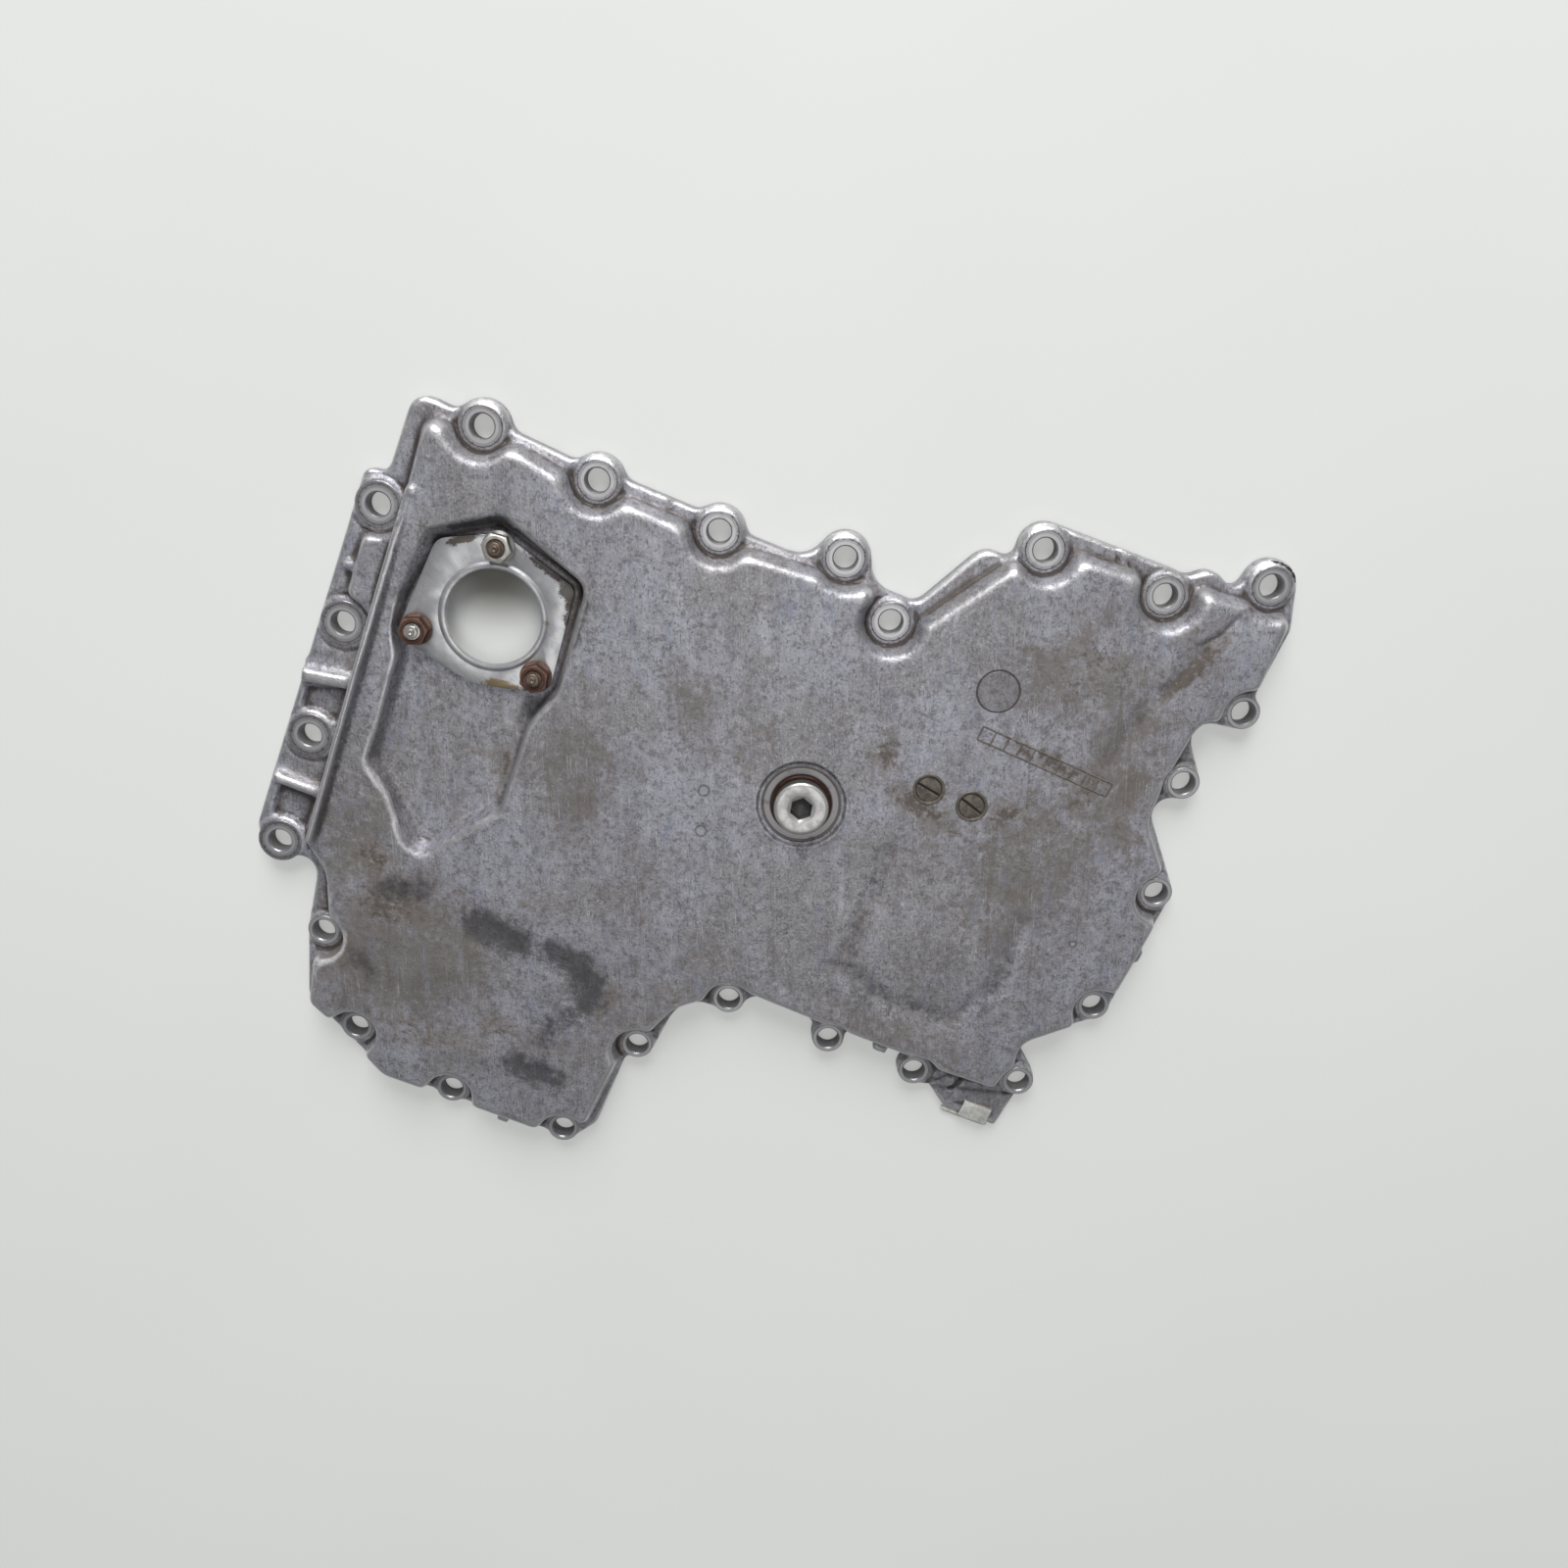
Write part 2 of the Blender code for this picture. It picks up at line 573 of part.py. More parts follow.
def cavity():
    """The hollow under the pan: skin all round, sunk under the pocket, with low ribs on its roof."""
    roof = PAN_HEIGHT - WALL
    skirt = WALL - 0.3
    walls = [(x, y, max(radius - skirt, 0.75) if radius > 0 else radius - skirt, 0.35)
             for x, y, radius, slope in pan_wall()]
    hollow = loft("cavity_cut", walls, [(-1.0, 0.0), (roof - 1.6, 0.2), (roof, 1.0)], COARSE)
    skin = [(x, y, radius + WALL if radius > 0 else min(radius + WALL, -1.0), slope)
            for x, y, radius, slope in pocket_wall()]
    pocket_skin = loft("pocket_skin_form", skin, [(POCKET_FLOOR - WALL, 0.8), (PAN_HEIGHT, 0.0)], COARSE)
    boolean(hollow, pocket_skin, "DIFFERENCE")
    plug_boss = turned("plug_boss_form", PLUG_CENTRE, [(roof - PLUG_BOSS_HEIGHT, PLUG_BOSS - 1.0),
                                                       (roof - PLUG_BOSS_HEIGHT + 1.0, PLUG_BOSS),
                                                       (roof + 1.0, PLUG_BOSS)])
    boolean(hollow, plug_boss, "DIFFERENCE")
    rib_section = [(-1.6, roof - 3.0), (1.6, roof - 3.0), (2.2, roof + 1.0), (-2.2, roof + 1.0)]
    for number, (start, end) in enumerate((((-75.0, 10.0), (6.0, 15.0)), ((36.0, 16.0), (148.0, 24.0)),
                                          ((21.0, 30.0), (21.0, 80.0)), ((20.0, 1.0), (12.0, -70.0)))):
        rib = prism(f"inner_rib_form_{number + 1}", rib_section, Vector(end) - Vector(start), start, end)
        boolean(hollow, rib, "DIFFERENCE")
    return hollow


def pan_casting():
    land_levels = [(0.0, 0.0), (LAND_HEIGHT - EDGE_ROUND, 0.0), (LAND_HEIGHT - 0.4 * EDGE_ROUND, 0.4),
                   (LAND_HEIGHT, EDGE_ROUND)]
    casting = loft("pan_casting", outline(), land_levels)
    boolean(casting, loft("pan_form", pan_wall(), wall_levels(LAND_HEIGHT, PAN_HEIGHT, 3.0)), "UNION")
    for form in strip_forms():
        boolean(casting, form, "UNION")
    boolean(casting, fin_form(), "UNION")
    knob_levels = [(PAN_HEIGHT - 2.0, FIN_KNOB), (PAN_HEIGHT + 0.4, FIN_KNOB), (PAN_HEIGHT + 1.1, FIN_KNOB * 0.6)]
    knob = turned("knob_form", (FIN_TOP_END[0] + 1.0, FIN_TOP_END[1] - 0.5), knob_levels, 12)
    boolean(casting, knob, "UNION")
    for tab in rim_tabs():
        boolean(casting, tab, "UNION")
    boolean(casting, bracket_form(), "UNION")
    seats = []
    for number, bolt in BOLTS.items():
        seats.append(turned(f"seat_{number}", (bolt.x, bolt.y),
                            [(LAND_HEIGHT - 2.5, bolt.seat), (SEAT_HEIGHT, bolt.seat)], SEAT_SIDES))
    boolean(casting, joined("seat_forms", seats), "UNION")
    boolean(casting, cavity(), "DIFFERENCE")
    for cut in strip_cuts():
        boolean(casting, cut, "DIFFERENCE")
    pocket_levels = [(POCKET_FLOOR, 1.0), (PAN_HEIGHT - 0.8, 0.1), (PAN_HEIGHT + 0.5, -0.5),
                     (PAN_HEIGHT + 8.0, -0.5)]
    boolean(casting, loft("pocket_cut", pocket_wall(), pocket_levels), "DIFFERENCE")
    face = PAN_HEIGHT - PLUG_FACE_DEPTH
    face_levels = [(face, PLUG_FACE), (PAN_HEIGHT - 0.4, PLUG_FACE), (PAN_HEIGHT - 0.1, PLUG_RING - 0.6),
                   (PAN_HEIGHT + 1.0, PLUG_RING)]
    plug_face = turned("plug_face_cut", PLUG_CENTRE, face_levels)
    boolean(casting, plug_face, "DIFFERENCE")
    thread_hole = turned("plug_hole_cut", PLUG_CENTRE, [(-1.0, PLUG_THREAD / 2 + CLEARANCE),
                                                        (PAN_HEIGHT, PLUG_THREAD / 2 + CLEARANCE)])
    boolean(casting, thread_hole, "DIFFERENCE")
    sensor_radius = SENSOR_HOLE / 2 + SENSOR_HOLE_CLEARANCE
    sensor_levels = [(-1.0, sensor_radius), (PAN_HEIGHT, sensor_radius)]
    sensor_hole = turned("sensor_hole_cut", SENSOR_CENTRE, sensor_levels)
    boolean(casting, sensor_hole, "DIFFERENCE")
    bolt_bore = [(-1.0, HOLE_DIAMETER / 2), (PAN_HEIGHT, HOLE_DIAMETER / 2)]
    holes = [turned(f"hole_{number}", (bolt.x, bolt.y), bolt_bore, HOLE_SIDES)
             for number, bolt in BOLTS.items()]
    boolean(casting, joined("bolt_hole_cuts", holes), "DIFFERENCE")
    stud_holes = [turned(f"stud_hole_{number}", place, [(POCKET_FLOOR - 2.5, STUD_DIAMETER / 2 + CLEARANCE),
                                                        (PAN_HEIGHT, STUD_DIAMETER / 2 + CLEARANCE)], 16)
                  for number, place in enumerate(STUDS)]
    boolean(casting, joined("stud_hole_cuts", stud_holes), "DIFFERENCE")
    boolean(casting, clip_window(), "DIFFERENCE")
    finish(casting, (0.42, 0.42, 0.45), 0.45, 0.9)
    return casting


def plate_outline():
    (top_x, top_y), (left_x, left_y), (right_x, right_y) = STUDS
    ear = NUT_FLANGE / 2 + 0.2
    return with_slope([(left_x + 2.6, top_y - 10.0, 6.4), (left_x, left_y, ear),
                       (*SENSOR_CENTRE, SENSOR_HOLE / 2 + PLATE_RIM), (right_x, right_y, ear),
                       (right_x - 1.4, top_y - 7.3, 4.6), (top_x, top_y, ear - 1.4)])


def sensor_plate():
    """The pressed plate with a raised lip round its hole, and the thin seal under it."""
    seal_low = POCKET_FLOOR + 0.02
    plate_low = seal_low + SEAL_THICKNESS + 0.02
    plate_top = plate_low + PLATE_THICKNESS
    inner = SENSOR_HOLE / 2
    plate = loft("sensor_flange_plate", plate_outline(), [(plate_low, 0.2), (plate_low + 0.2, 0.0),
                                                         (plate_top - 0.2, 0.0), (plate_top, 0.2)])
    lip_top = plate_top + LIP_HEIGHT
    lip_levels = [(plate_low + 0.4, inner + LIP_WIDTH + 0.8), (plate_top, inner + LIP_WIDTH),
                  (lip_top, inner + LIP_WIDTH - 0.7), (lip_top, inner + 0.5)]
    lip = turned("lip_form", SENSOR_CENTRE, lip_levels)
    boolean(plate, lip, "UNION")
    seal = loft("flange_seal", plate_outline(), [(seal_low, 0.6), (seal_low + SEAL_THICKNESS, 0.6)])
    bore = turned("plate_bore_cut", SENSOR_CENTRE, [(POCKET_FLOOR - 1.0, inner), (PAN_HEIGHT, inner)])
    boolean(plate, bore, "DIFFERENCE")
    seal_levels = [(POCKET_FLOOR - 1.0, inner + 0.6), (PAN_HEIGHT, inner + 0.6)]
    seal_bore = turned("seal_bore_cut", SENSOR_CENTRE, seal_levels)
    boolean(seal, seal_bore, "DIFFERENCE")
    stud_radius = STUD_DIAMETER / 2 + BORE_CLEARANCE
    stud_levels = [(POCKET_FLOOR - 1.0, stud_radius), (PAN_HEIGHT, stud_radius)]
    stud_cuts = [turned(f"plate_stud_{number}", place, stud_levels, 16) for number, place in enumerate(STUDS)]
    cuts = joined("plate_stud_cuts", stud_cuts)
    boolean(plate, cuts, "DIFFERENCE")
    boolean(seal, cuts, "DIFFERENCE")
    finish(plate, (0.62, 0.63, 0.6), 0.35, 0.85)
    finish(seal, (0.03, 0.03, 0.03), 0.7, 0.0)
    return plate_top


def studs_and_nuts(plate_top):
    nut_low = plate_top + 0.02
    flange_top = nut_low + NUT_FLANGE_HEIGHT
    nut_top = nut_low + NUT_HEIGHT
    looks = (((0.55, 0.54, 0.5), 0.4, 0.9), ((0.12, 0.05, 0.03), 0.8, 0.3), ((0.16, 0.09, 0.05), 0.75, 0.35))
    for number, place in enumerate(STUDS, start=1):
        radius = STUD_DIAMETER / 2
        tip = nut_top + STUD_ABOVE_NUT
        stud_levels = [(POCKET_FLOOR - 2.2, radius - 0.5), (POCKET_FLOOR - 1.7, radius), (tip - 0.8, radius),
                       (tip, radius - 0.8)]
        stud = turned(f"stud_{number}", place, stud_levels, 16)
        hexagon = NUT_ACROSS_FLATS / math.sqrt(3)
        turn = math.radians(20 + 17 * number)
        flange_levels = [(nut_low, NUT_FLANGE / 2), (nut_low + 0.7, NUT_FLANGE / 2),
                         (flange_top, NUT_FLANGE / 2 - 1.4)]
        nut = turned(f"flange_nut_{number}", place, flange_levels, 24)
        head_levels = [(flange_top - 0.8, hexagon), (nut_top - 0.7, hexagon), (nut_top, hexagon - 0.8)]
        head = turned(f"nut_{number}_hexagon_form", place, head_levels, 6, turn)
        boolean(nut, head, "UNION")
        bore = radius + CLEARANCE
        bore_cut = turned(f"nut_{number}_bore_cut", place, [(nut_low - 1.0, bore), (nut_top + 1.0, bore)], 16)
        boolean(nut, bore_cut, "DIFFERENCE")
        finish(nut, *looks[number - 1])
        finish(stud, (0.3, 0.24, 0.2), 0.5, 0.8)


def drain_plug():
    seat = PAN_HEIGHT - PLUG_FACE_DEPTH + 0.02
    under_head = seat + WASHER_THICKNESS + 0.02
    top = under_head + PLUG_HEAD_HEIGHT
    thread = PLUG_THREAD / 2
    head = PLUG_HEAD / 2
    tip = under_head - PLUG_THREAD_LENGTH
    plug_levels = [(tip, thread - 1.0), (tip + 1.0, thread), (under_head, thread), (under_head, head),
                   (top - PLUG_BEVEL, head), (top, head - PLUG_BEVEL)]
    plug = turned("drain_plug", PLUG_CENTRE, plug_levels)
    socket = PLUG_SOCKET / math.sqrt(3)
    hexagon = turned("plug_socket_cut", PLUG_CENTRE, [(top - PLUG_SOCKET_DEPTH, socket), (top - 0.6, socket),
                                                      (top + 0.4, socket + 1.0)], 6, math.radians(12))
    boolean(plug, hexagon, "DIFFERENCE")
    finish(plug, (0.7, 0.7, 0.68), 0.3, 0.95)
    outer = WASHER_DIAMETER / 2
    washer_top = seat + WASHER_THICKNESS
    washer_section = [(seat, thread + CLEARANCE), (seat, outer - 0.3), (seat + 0.3, outer),
                      (washer_top - 0.3, outer), (washer_top, outer - 0.3), (washer_top, thread + CLEARANCE)]
    washer = turned_ring("drain_plug_washer", PLUG_CENTRE, washer_section)
    finish(washer, (0.45, 0.2, 0.1), 0.45, 0.9)


def spring_clip():
    """A bent strip that hugs the bracket's edge: over its top, round the edge and back under it."""
    gap = CLEARANCE
    thick = CLIP_THICKNESS
    inner_y = BRACKET_EDGE_Y - gap
    top = BRACKET_THICKNESS + gap
    turn_in = BRACKET_EDGE_Y + CLIP_REACH
    over = top + thick
    section = [(turn_in + thick, 0.3), (turn_in + thick, over - 0.2), (turn_in + thick - 0.4, over),
               (inner_y - thick + 0.3, over), (inner_y - thick, over - 0.3), (inner_y - thick, 0.3),
               (inner_y, 0.3), (inner_y, top), (turn_in, top), (turn_in, 0.3)]
    half = CLIP_WIDTH / 2
    loops = []
    for side in (-half, half):
        loops.append([Vector((CLIP_CENTRE_X + side, y, height)) * MM for y, height in section])
    clip = closed_mesh("spring_clip", loops)
    face_outwards(clip)
    finish(clip, (0.6, 0.6, 0.58), 0.35, 0.9)


def clear_scene():
    for obj in list(bpy.data.objects):
        bpy.data.objects.remove(obj)


def main():
    clear_scene()
    pan_casting()
    plate_top = sensor_plate()
    studs_and_nuts(plate_top)
    drain_plug()
    spring_clip()


main()
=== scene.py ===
"""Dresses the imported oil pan: cast skin, machined seats, sensor plate, studs, plug, clip and stage.

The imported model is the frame. Every piece is made in metres, in its own place.
"""
import math

import bmesh
import bpy
import numpy as np
from bpy.props import FloatProperty, FloatVectorProperty, IntProperty, PointerProperty
from mathutils import Euler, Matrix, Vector, kdtree
from mathutils.bvhtree import BVHTree


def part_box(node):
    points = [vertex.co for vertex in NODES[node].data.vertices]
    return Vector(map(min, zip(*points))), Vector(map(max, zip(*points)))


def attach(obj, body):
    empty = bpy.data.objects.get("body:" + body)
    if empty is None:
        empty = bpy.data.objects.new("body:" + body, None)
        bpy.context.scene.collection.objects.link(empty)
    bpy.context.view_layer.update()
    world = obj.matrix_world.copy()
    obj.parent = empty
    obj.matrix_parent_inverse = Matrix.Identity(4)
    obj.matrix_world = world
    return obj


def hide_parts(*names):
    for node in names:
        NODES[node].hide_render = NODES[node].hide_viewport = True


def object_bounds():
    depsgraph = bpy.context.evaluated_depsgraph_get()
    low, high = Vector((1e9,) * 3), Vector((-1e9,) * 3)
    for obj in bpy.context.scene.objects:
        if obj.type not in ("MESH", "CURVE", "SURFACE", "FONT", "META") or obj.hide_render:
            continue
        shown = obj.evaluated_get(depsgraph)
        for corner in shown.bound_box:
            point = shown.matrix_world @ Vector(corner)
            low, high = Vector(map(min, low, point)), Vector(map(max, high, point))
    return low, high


bl_info = {
    "name": "Oil pan dresser",
    "version": (1, 0, 0),
    "blender": (4, 5, 0),
    "location": "View3D > Sidebar > Oil pan",
    "description": "Builds the looks of a die-cast oil pan round its packed model",
    "category": "Object",
}

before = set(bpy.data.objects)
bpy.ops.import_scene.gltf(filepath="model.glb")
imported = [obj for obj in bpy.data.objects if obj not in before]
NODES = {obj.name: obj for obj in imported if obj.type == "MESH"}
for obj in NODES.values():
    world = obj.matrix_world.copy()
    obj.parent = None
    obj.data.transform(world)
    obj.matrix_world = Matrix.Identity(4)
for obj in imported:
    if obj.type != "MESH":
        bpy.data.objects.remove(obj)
CAD_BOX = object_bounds()
MM = 0.001
PER_METRE = (1000.0, 1000.0, 1000.0)
BODY = "root"

# Heights of the casting's flat levels, in millimetres above the gasket face
LAND = 6.4
SEAT = 7.2
PAN = 15.0
POCKET = 7.5

# Each rim bolt's place and the radius of its machined seat, in millimetres
BOLTS = (
    (-142, 103, 7.6), (-96.5, 101, 7.6), (-48, 101, 7.6), (-0.5, 110, 7.6), (25, 94.5, 7.6),
    (67.5, 141.5, 7.6), (117, 143.5, 7.6), (152.5, 162, 7.6), (166.5, 114.5, 6.6), (158.5, 80, 6.6),
    (170.5, 34, 6.6), (170, -21.5, 6.6), (156.5, -66.5, 6.6), (113, -79, 6.6), (73, -79, 6.6),
    (27, -78, 6.6), (-1, -113, 6.6), (-16.5, -164, 6.6), (-67.5, -164, 6.6), (-114, -151, 6.6),
    (-139.5, -113.5, 6.6), (-167, -82, 8.8), (-168, -34.5, 8.8), (-168.5, 13.5, 8.8), (-169, 61.5, 8.8),
)
SENSOR = (-115.5, 38.5)
STUDS = ((-121.97, 64.46), (-141.23, 22.98), (-92.96, 23.01))
DRAIN = (20.9, 15.7)

# Shallow forms of the pan's face: (x, y, half length, half width, turn in degrees, height in millimetres)
SWELLS = (
    (-72, -83, 17, 8, -14, -0.7), (-32, -93, 20, 9, -50, -0.7), (-38, -137, 15, 7, -8, -0.6),
    (-95, -112, 24, 10, 30, 0.5), (98, -20, 34, 24, 8, 1.5), (-60, -140, 20, 8, 0, 0.5),
    (-20, -60, 30, 14, 20, 0.4), (60, -60, 26, 6, 0, -0.4), (-60, 60, 30, 16, 10, 0.25),
    (110, 110, 24, 16, 40, 0.3),
)

# Narrow valleys: (width, depth, points), all in millimetres
CREASES = (
    (3.4, 0.7, ((148.1, 151.4), (137.3, 132.4), (128.3, 105.2), (126.2, 78))),
    (2.2, 0.8, ((-154.8, -74.9), (-145.9, -84.9), (-139.4, -103))),
    (3.6, 0.9, ((61, 10), (64, -27), (62, -43), (88, -49.6), (115, -48), (126.5, -25), (124, 4))),
    (1.6, 0.5, ((-149.5, 62), (-152, 30), (-146, -6), (-142, -30), (-126, -52))),
)

# Sharp lines that stay after the rounding: (width, depth, points)
GROOVES = (
    (0.8, 0.5, ((146.8, 152), (142.6, 144.6), (141.1, 139.2), (137.6, 134.1), (134.7, 131.3))),
    (1, 1.1, ((134.5, -73.4), (132.3, -82.6))), (0.9, 0.9, ((93.6, 150.4), (95.4, 147.2))),
    (0.7, 0.6, ((98.6, 149.8), (100.2, 146.8))),
    (1, -0.22,
     ((-142.4, 11.8), (-140.7, -32.9), (-133.5, -38.1), (-121.7, -55), (-115.8, -57.1), (-108.8, -56.5),
      (-101.1, -41.9), (-97.4, -37.2), (-89.6, -32.6))),
    (1.3, -0.2,
     ((-150.2, 29), (-144.9, 15), (-143.9, -25.8), (-143.9, -35.5), (-132.2, -44.3), (-120.8, -61),
      (-111.9, -64.4), (-98.9, -49.7), (-91.4, -42), (-85.4, -33.1))),
)

# Flat round ejector marks: (x, y, radius, depth)
EJECTORS = (
    (-16.6, 6.3, 2.8, 0.25), (-11.6, -9.8, 2.8, 0.25), (146.3, 3, 2, 0.3), (-147.5, 25, 2.5, -0.3),
    (-146, 4, 2.5, -0.3),
)

# Dark smears of oil, and painted shade where the lines run along the swell's lower edge, round the sensor
# plate's edge and beside the spring clip: (half width, strength, points)
SMEARS_AND_SHADE = (
    (8, 1, ((-80, -82), (-72, -83.5), (-64, -84))), (6.5, 1, ((-48, -82), (-39, -83.5))),
    (9, 0.9, ((-35, -86), (-29, -91), (-28, -98))), (9, 0.6, ((-29, -101), (-35, -111), (-38, -122))),
    (7.5, 0.85, ((-47, -136.5), (-38, -137.5), (-30, -138))), (7, 0.75, ((-120, -82), (-108, -77))),
    (5, 0.8, ((-122, -116), (-117, -118))),
    (2.4, 0.5, ((148.1, 151.4), (137.3, 132.4), (130.3, 112), (127.6, 96))),
    (6, 0.45, ((62, 2), (64, -27), (63, -40))), (8, 0.5, ((64, -42), (74, -48), (92, -49.6))),
    (5, 0.5, ((92, -49.6), (106, -49), (117, -47.5), (124, -38), (127, -22), (125, -8))),
    (1.7, 1.15,
     ((-140, 65), (-134, 70), (-123.3, 75), (-112.7, 73), (-99.6, 69), (-88.5, 63.5), (-84, 55))),
    (1.2, 0.8, ((-84, 55), (-82.8, 43), (-83.5, 34))), (3.6, 0.85, ((-91, 14), (-91.5, 8))),
    (3, 0.35, ((-28.6, -47), (-21, -63), (-12, -80), (-10, -91))),
    (1.6, 1.5, ((139, -94), (138.9, -91), (141, -87.6), (143.2, -86))),
    (1.5, 1.5, ((153.2, -87.8), (154.2, -91), (153.2, -94.4))),
    (1.3, 1.1, ((134.5, -73.6), (132.4, -82.4))), (1.6, 0.8, ((118, -84.5), (128, -75.5), (142, -74))),
    (8, 0.3, ((30, 0), (36, -40), (34, -66))),
)

# Brown dirt on the face: (x, y, half length, half width, turn in degrees, strength)
DIRT = (
    (-115, -85, 34, 26, 20, 1), (-128, -118, 16, 24, 10, 0.8), (110, 40, 40, 30, 20, 0.7),
    (66, 32, 30, 8, -10, 1.4), (97, 43, 13, 6, 40, 1.5), (140, 130, 20, 18, 50, 0.8),
    (-10, 30, 26, 40, -20, 0.35), (60, -40, 40, 20, 0, 0.4), (140, 60, 20, 30, 10, 0.7),
    (-60, -60, 26, 14, 30, 0.6), (110, -60, 30, 12, 0, 0.6), (-30, 80, 60, 10, 0, 0.3),
    (100, 100, 34, 24, 10, 0.8), (-50, -20, 16, 10, 0, 0.45), (13, -25, 12, 8, 0, 0.4),
    (-106, -82, 14, 10, 0, 1), (-57, -124, 18, 14, 0, 0.9), (-77, -136, 20, 14, 0, 0.9),
    (44, 46, 9, 12, 10, 1.4), (101.5, 69.3, 34, 4.4, -2, 1.5), (-93, -16, 6, 4, 0, 1.5),
    (118, 16, 12, 8, 10, 0.8), (96.5, 147, 5, 3, -25, 1.2), (-128, -70, 14, 12, 0, 1.3),
    (-118, -90, 16, 12, 0, 1.3), (-92, -140, 34, 9, -24, 1), (-40, -126, 24, 12, 0, 0.8),
    (104, 112, 26, 12, -10, 1), (122, 70, 14, 9, 60, 1.1), (-20, -98, 4, 16, 6, 1.2),
    (137, 121, 24, 5, 70, 1.8), (122, 58, 14, 5, 70, 1.3),
)

# Where the skin is darker and duller, as the lower left and the right side are
DULL = (
    (-105, -108, 58, 46, 20, 1), (118, 20, 50, 62, 0, 0.7), (-12, -92, 50, 40, 0, 0.55),
    (130, 80, 34, 60, 0, 0.66), (10, -62, 40, 26, 0, 0.5), (95, 128, 30, 16, 20, 0.5),
    (-138, -62, 24, 30, 0, 0.75), (140, -84, 26, 14, 0, 0.55), (95, -66, 70, 20, 0, 0.6),
    (-63, -10, 24, 44, 22, 0.85), (-35, 36, 18, 26, 22, 0.62), (-23, -52, 26, 26, 0, 0.66),
    (100, 92, 34, 28, 0, 0.55), (128, 30, 18, 22, 0, 0.75),
)

# The plain round field above the ruled box: (x, y, radius)
ROUND_FIELD = (72.9, 86.7, 8.2)

# Date dials: (x, y, turn of their slot in degrees)
DIALS = ((64.7, 40.7, -8.0), (83.1, 40.8, -16.0))

# Stains on the sensor plate: (x, y, half length, half width, turn in degrees, colour)
PLATE_STAINS = (
    (-102, 65, 11, 3.6, -17, (0.045, 0.036, 0.03)), (-92, 59, 8, 4, -42, (0.05, 0.04, 0.033)),
    (-88, 51, 8, 3.2, -80, (0.06, 0.045, 0.035)), (-135.5, 62, 7, 1.8, 38, (0.09, 0.07, 0.055)),
    (-104.5, 14.4, 7.5, 2.3, 12, (0.27, 0.2, 0.1)), (-88.4, 23.5, 1.8, 1.4, 0, (0.28, 0.2, 0.1)),
    (-86.6, 37, 8, 1, -88, (0.12, 0.09, 0.06)), (-96, 44, 1.2, 0.9, 0, (0.3, 0.27, 0.22)),
    (-93, 17, 4, 3, 20, (0.1, 0.085, 0.075)),
)

# How far the skin reaches below the gasket face before it is milled off, in millimetres
BELOW = 2.0

# The height that a draped piece takes where it hangs past the casting, in millimetres
BESIDE = 4.0

# The way the skin's streaks and scratches run, in degrees
STREAK_TURN = -22.5

# Names of the marks that each point of the casting's skin carries
MARKS = ("edge", "crevice", "smear_and_shade", "dirt", "dull")


class CastingSettings(bpy.types.PropertyGroup):
    """Sizes and colours of the cast skin."""

    voxel: FloatProperty(name="Skin step", description="Step of the rounded skin", default=0.8 * MM,
                         unit="LENGTH")
    rounding: IntProperty(name="Rounding passes", description="How far cast edges are rounded", default=10)
    faces: IntProperty(name="Triangles", description="Most triangles that the skin keeps", default=170000)
    hole: FloatProperty(name="Bolt hole", description="Diameter of a rim hole", default=9.0 * MM,
                        unit="LENGTH")
    ripple: FloatProperty(name="Ripple", description="Height of the casting's waves", default=0.12 * MM,
                          unit="LENGTH")
    skin: FloatVectorProperty(name="Skin", description="Clean cast aluminium", subtype="COLOR",
                              default=(0.343, 0.343, 0.37))
    dirt: FloatVectorProperty(name="Dirt", description="Dry brown dirt", subtype="COLOR",
                              default=(0.155, 0.131, 0.112))
    # The bright colour goes on the scratches and on the convex edges, where it is worn metal and a painted
    # highlight together
    bright: FloatVectorProperty(name="Bright", description="Rubbed edges", subtype="COLOR",
                                default=(0.66, 0.65, 0.66))


class PlateSettings(bpy.types.PropertyGroup):
    """Sizes and colours of the sensor plate."""

    hole: FloatProperty(name="Hole", description="Diameter of the sensor hole", default=36.5 * MM,
                        unit="LENGTH")
    thickness: FloatProperty(name="Thickness", description="Sheet thickness", default=1.5 * MM,
                             unit="LENGTH")
    lip: FloatProperty(name="Lip", description="Width of the turned lip", default=2.0 * MM, unit="LENGTH")
    steel: FloatVectorProperty(name="Steel", description="Plated sheet", subtype="COLOR",
                               default=(0.56, 0.56, 0.56))


class FastenerSettings(bpy.types.PropertyGroup):
    """Sizes and colours of the studs, nuts and drain plug."""

    stud: FloatProperty(name="Stud", description="Stud diameter", default=6.0 * MM, unit="LENGTH")
    pitch: FloatProperty(name="Pitch", description="Thread pitch", default=1.0 * MM, unit="LENGTH")
    flats: FloatProperty(name="Across flats", description="Nut size", default=10.0 * MM, unit="LENGTH")
    socket: FloatProperty(name="Socket", description="Drain plug key size", default=8.0 * MM, unit="LENGTH")
    rust: FloatVectorProperty(name="Rust", description="Rusty steel", subtype="COLOR",
                              default=(0.09, 0.038, 0.02))
    zinc: FloatVectorProperty(name="Zinc", description="Plated steel", subtype="COLOR",
                              default=(0.52, 0.50, 0.46))
    copper: FloatVectorProperty(name="Copper", description="Washer", subtype="COLOR",
                                default=(0.075, 0.034, 0.022))


class MarkSettings(bpy.types.PropertyGroup):
    """Sizes of the cast marks on the pan's face."""

    dial: FloatProperty(name="Dial", description="Radius of a date dial", default=6.1 * MM, unit="LENGTH")
    length: FloatProperty(name="Ruled box", description="Length of the ruled box", default=56.5 * MM,
                          unit="LENGTH")
    height: FloatProperty(name="Box height", description="Height of the ruled box", default=5.6 * MM,
                          unit="LENGTH")
    cells: IntProperty(name="Cells", description="Fields in the ruled box", default=10)
    line: FloatProperty(name="Line", description="Radius of a cast line", default=0.42 * MM, unit="LENGTH")


